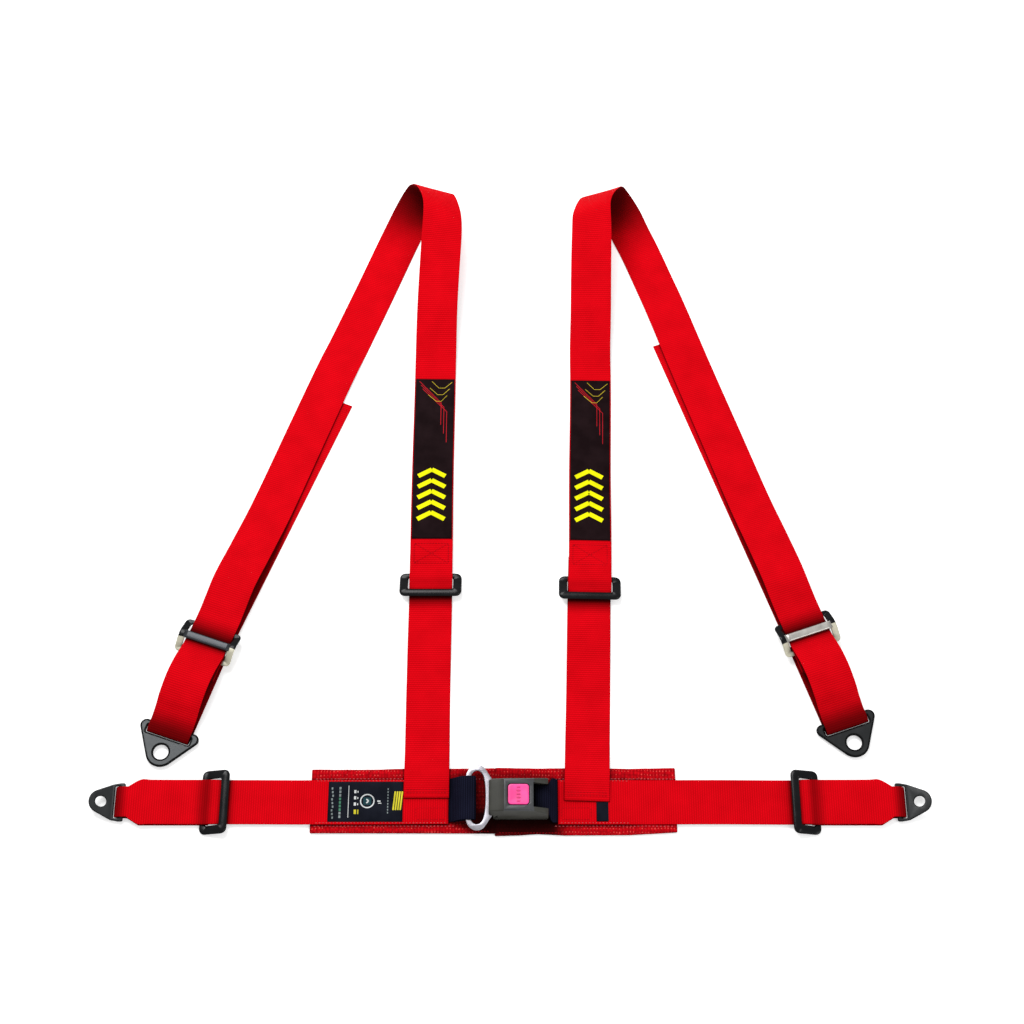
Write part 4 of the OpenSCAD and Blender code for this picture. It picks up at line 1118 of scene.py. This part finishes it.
def care_label(lap):
    """A label with plain dashes, a ring and a chevron."""
    start, end = 50.3 * MM, 132.3 * MM
    care = ribbon("care_label_cloth", lap, "care", "left_belt", "label", ["care_label"], t=0.4 * MM,
                  span=(start, end), trim=2.5 * MM, lift=0.93 * MM)

    def dash(q, u, length, width):
        return marks(end, [(q, u), (q, u - length)], width)

    grey, green, mustard, white = [], [], [], dash(22.3, 18, 36, 0.7)
    for k in range(9):
        grey += dash(4.2 + (k % 3) * 0.5, 16 - 4.1 * k, 2.4, 1.7) + dash(65.6, 15 - 3.3 * k, 2.0, 1.1)
        (green if 2 < k < 7 else grey).extend(dash(13.0, 16.5 - 4.0 * k, 2.9, 2.2))
    for k in range(4):
        mustard += marks(end, [(71.5 + 2.6 * k, -9.5), (73.5 + 2.6 * k, 11.5)], 1.7)
    mustard += dash(29.8, -9, 5, 2.6) + dash(33.0, -9, 5, 1.2)
    for k in range(3):
        white += dash(29.5, 13 - 7 * k, 3.5, 2.4) + dash(32.5, 12 - 7 * k, 2.0, 1.1)
    ring = circle(43.0, 0.6, 7.4, 24)
    white += marks(end, ring + ring[:1], 1.3)
    white += marks(end, [(54, 0.5), (57.5, 0.5)], 1.5) + marks(end, [(55, -1.8), (58.5, -1.8)], 0.9)
    names = printed("care_label", lap, "left_belt", [
        ("grey", grey, "grey_print", 0.12), ("green", green, "green", 0.12), ("white", white, "white", 0.2),
        ("mustard", mustard, "mustard", 0.2), ("teal", marks(end, [(38.6, 0.6), (47.4, 0.6)], 8.4), "teal", 0.1),
        ("mark", marks(end, [(42, 2.8), (44.6, 0.6), (42, -1.6)], 1.4), "white", 0.22)])


for side, sign in SIDES:
    shoulder, lower, lap, tail = straps[side]
    low, high = (-66, 149) if side == "left" else (-68, 147)
    a, b = shoulder.s_at_y(low), shoulder.s_at_y(high)
    shoulder_label(side, shoulder, (a, b), sign + 3)
    c, d = shoulder.s_at_y(low - 6) / MM, shoulder.s_at_y(low - 31) / MM
    box = [[(c, -20), (c, 20), (d, 20), (d, -20), (c, -20), (d, 20)], [(d, -20), (c, 20)]]
    edges = [[(a / MM - 2, u), (b / MM + 2, u)] for u in (-24.2, 24.2)]
    sew(f"{side}_box_stitch", shoulder, box + edges, f"{side}_shoulder", TOP + 0.1 * MM)
    hem = [[(s, -22), (s, 22)] for s in (6, 9.5)]
    sew(f"{side}_lower_hem", lower, hem, f"{side}_belt", TOP + 0.05 * MM)
    box = [[(s, sign * 7), (s, sign * 20)] for s in (4, 36)] + [[(4, sign * u), (36, sign * u)] for u in (7, 20)]
    sew(f"{side}_lap_sewing", lap, box, f"{side}_belt", TOP + 0.05 * MM)
    runs = [[(2, u), (146.3 if side == "left" else 77.5, u)] for u in (-23.6, 23.6)]
    sew(f"{side}_lap_edges", lap, runs, f"{side}_belt", TOP, "pale_thread", length=1.8 * MM, gap=2.0 * MM,
        radius=0.22 * MM)
    end = tail.length / MM
    hem = [[(end - s, -22), (end - s, 22)] for s in (8, 11)]
    sew(f"{side}_tail_hem", tail, hem, f"{side}_rear", TOP)
    if side == "left":
        care_label(lap)

tab = Strap([[101.2, -383.1, 7.35, 0, 0], [101.2, -394, 7.4, 0, 0], [101.2, -404.5, 7.35, 0, 0]], 13, steps=4)
ribbon("strap_tab_cloth", tab, "care", "right_belt", "webbing_black", ["strap_tab"], t=0.6 * MM, step=1.5 * MM,
       columns=6)
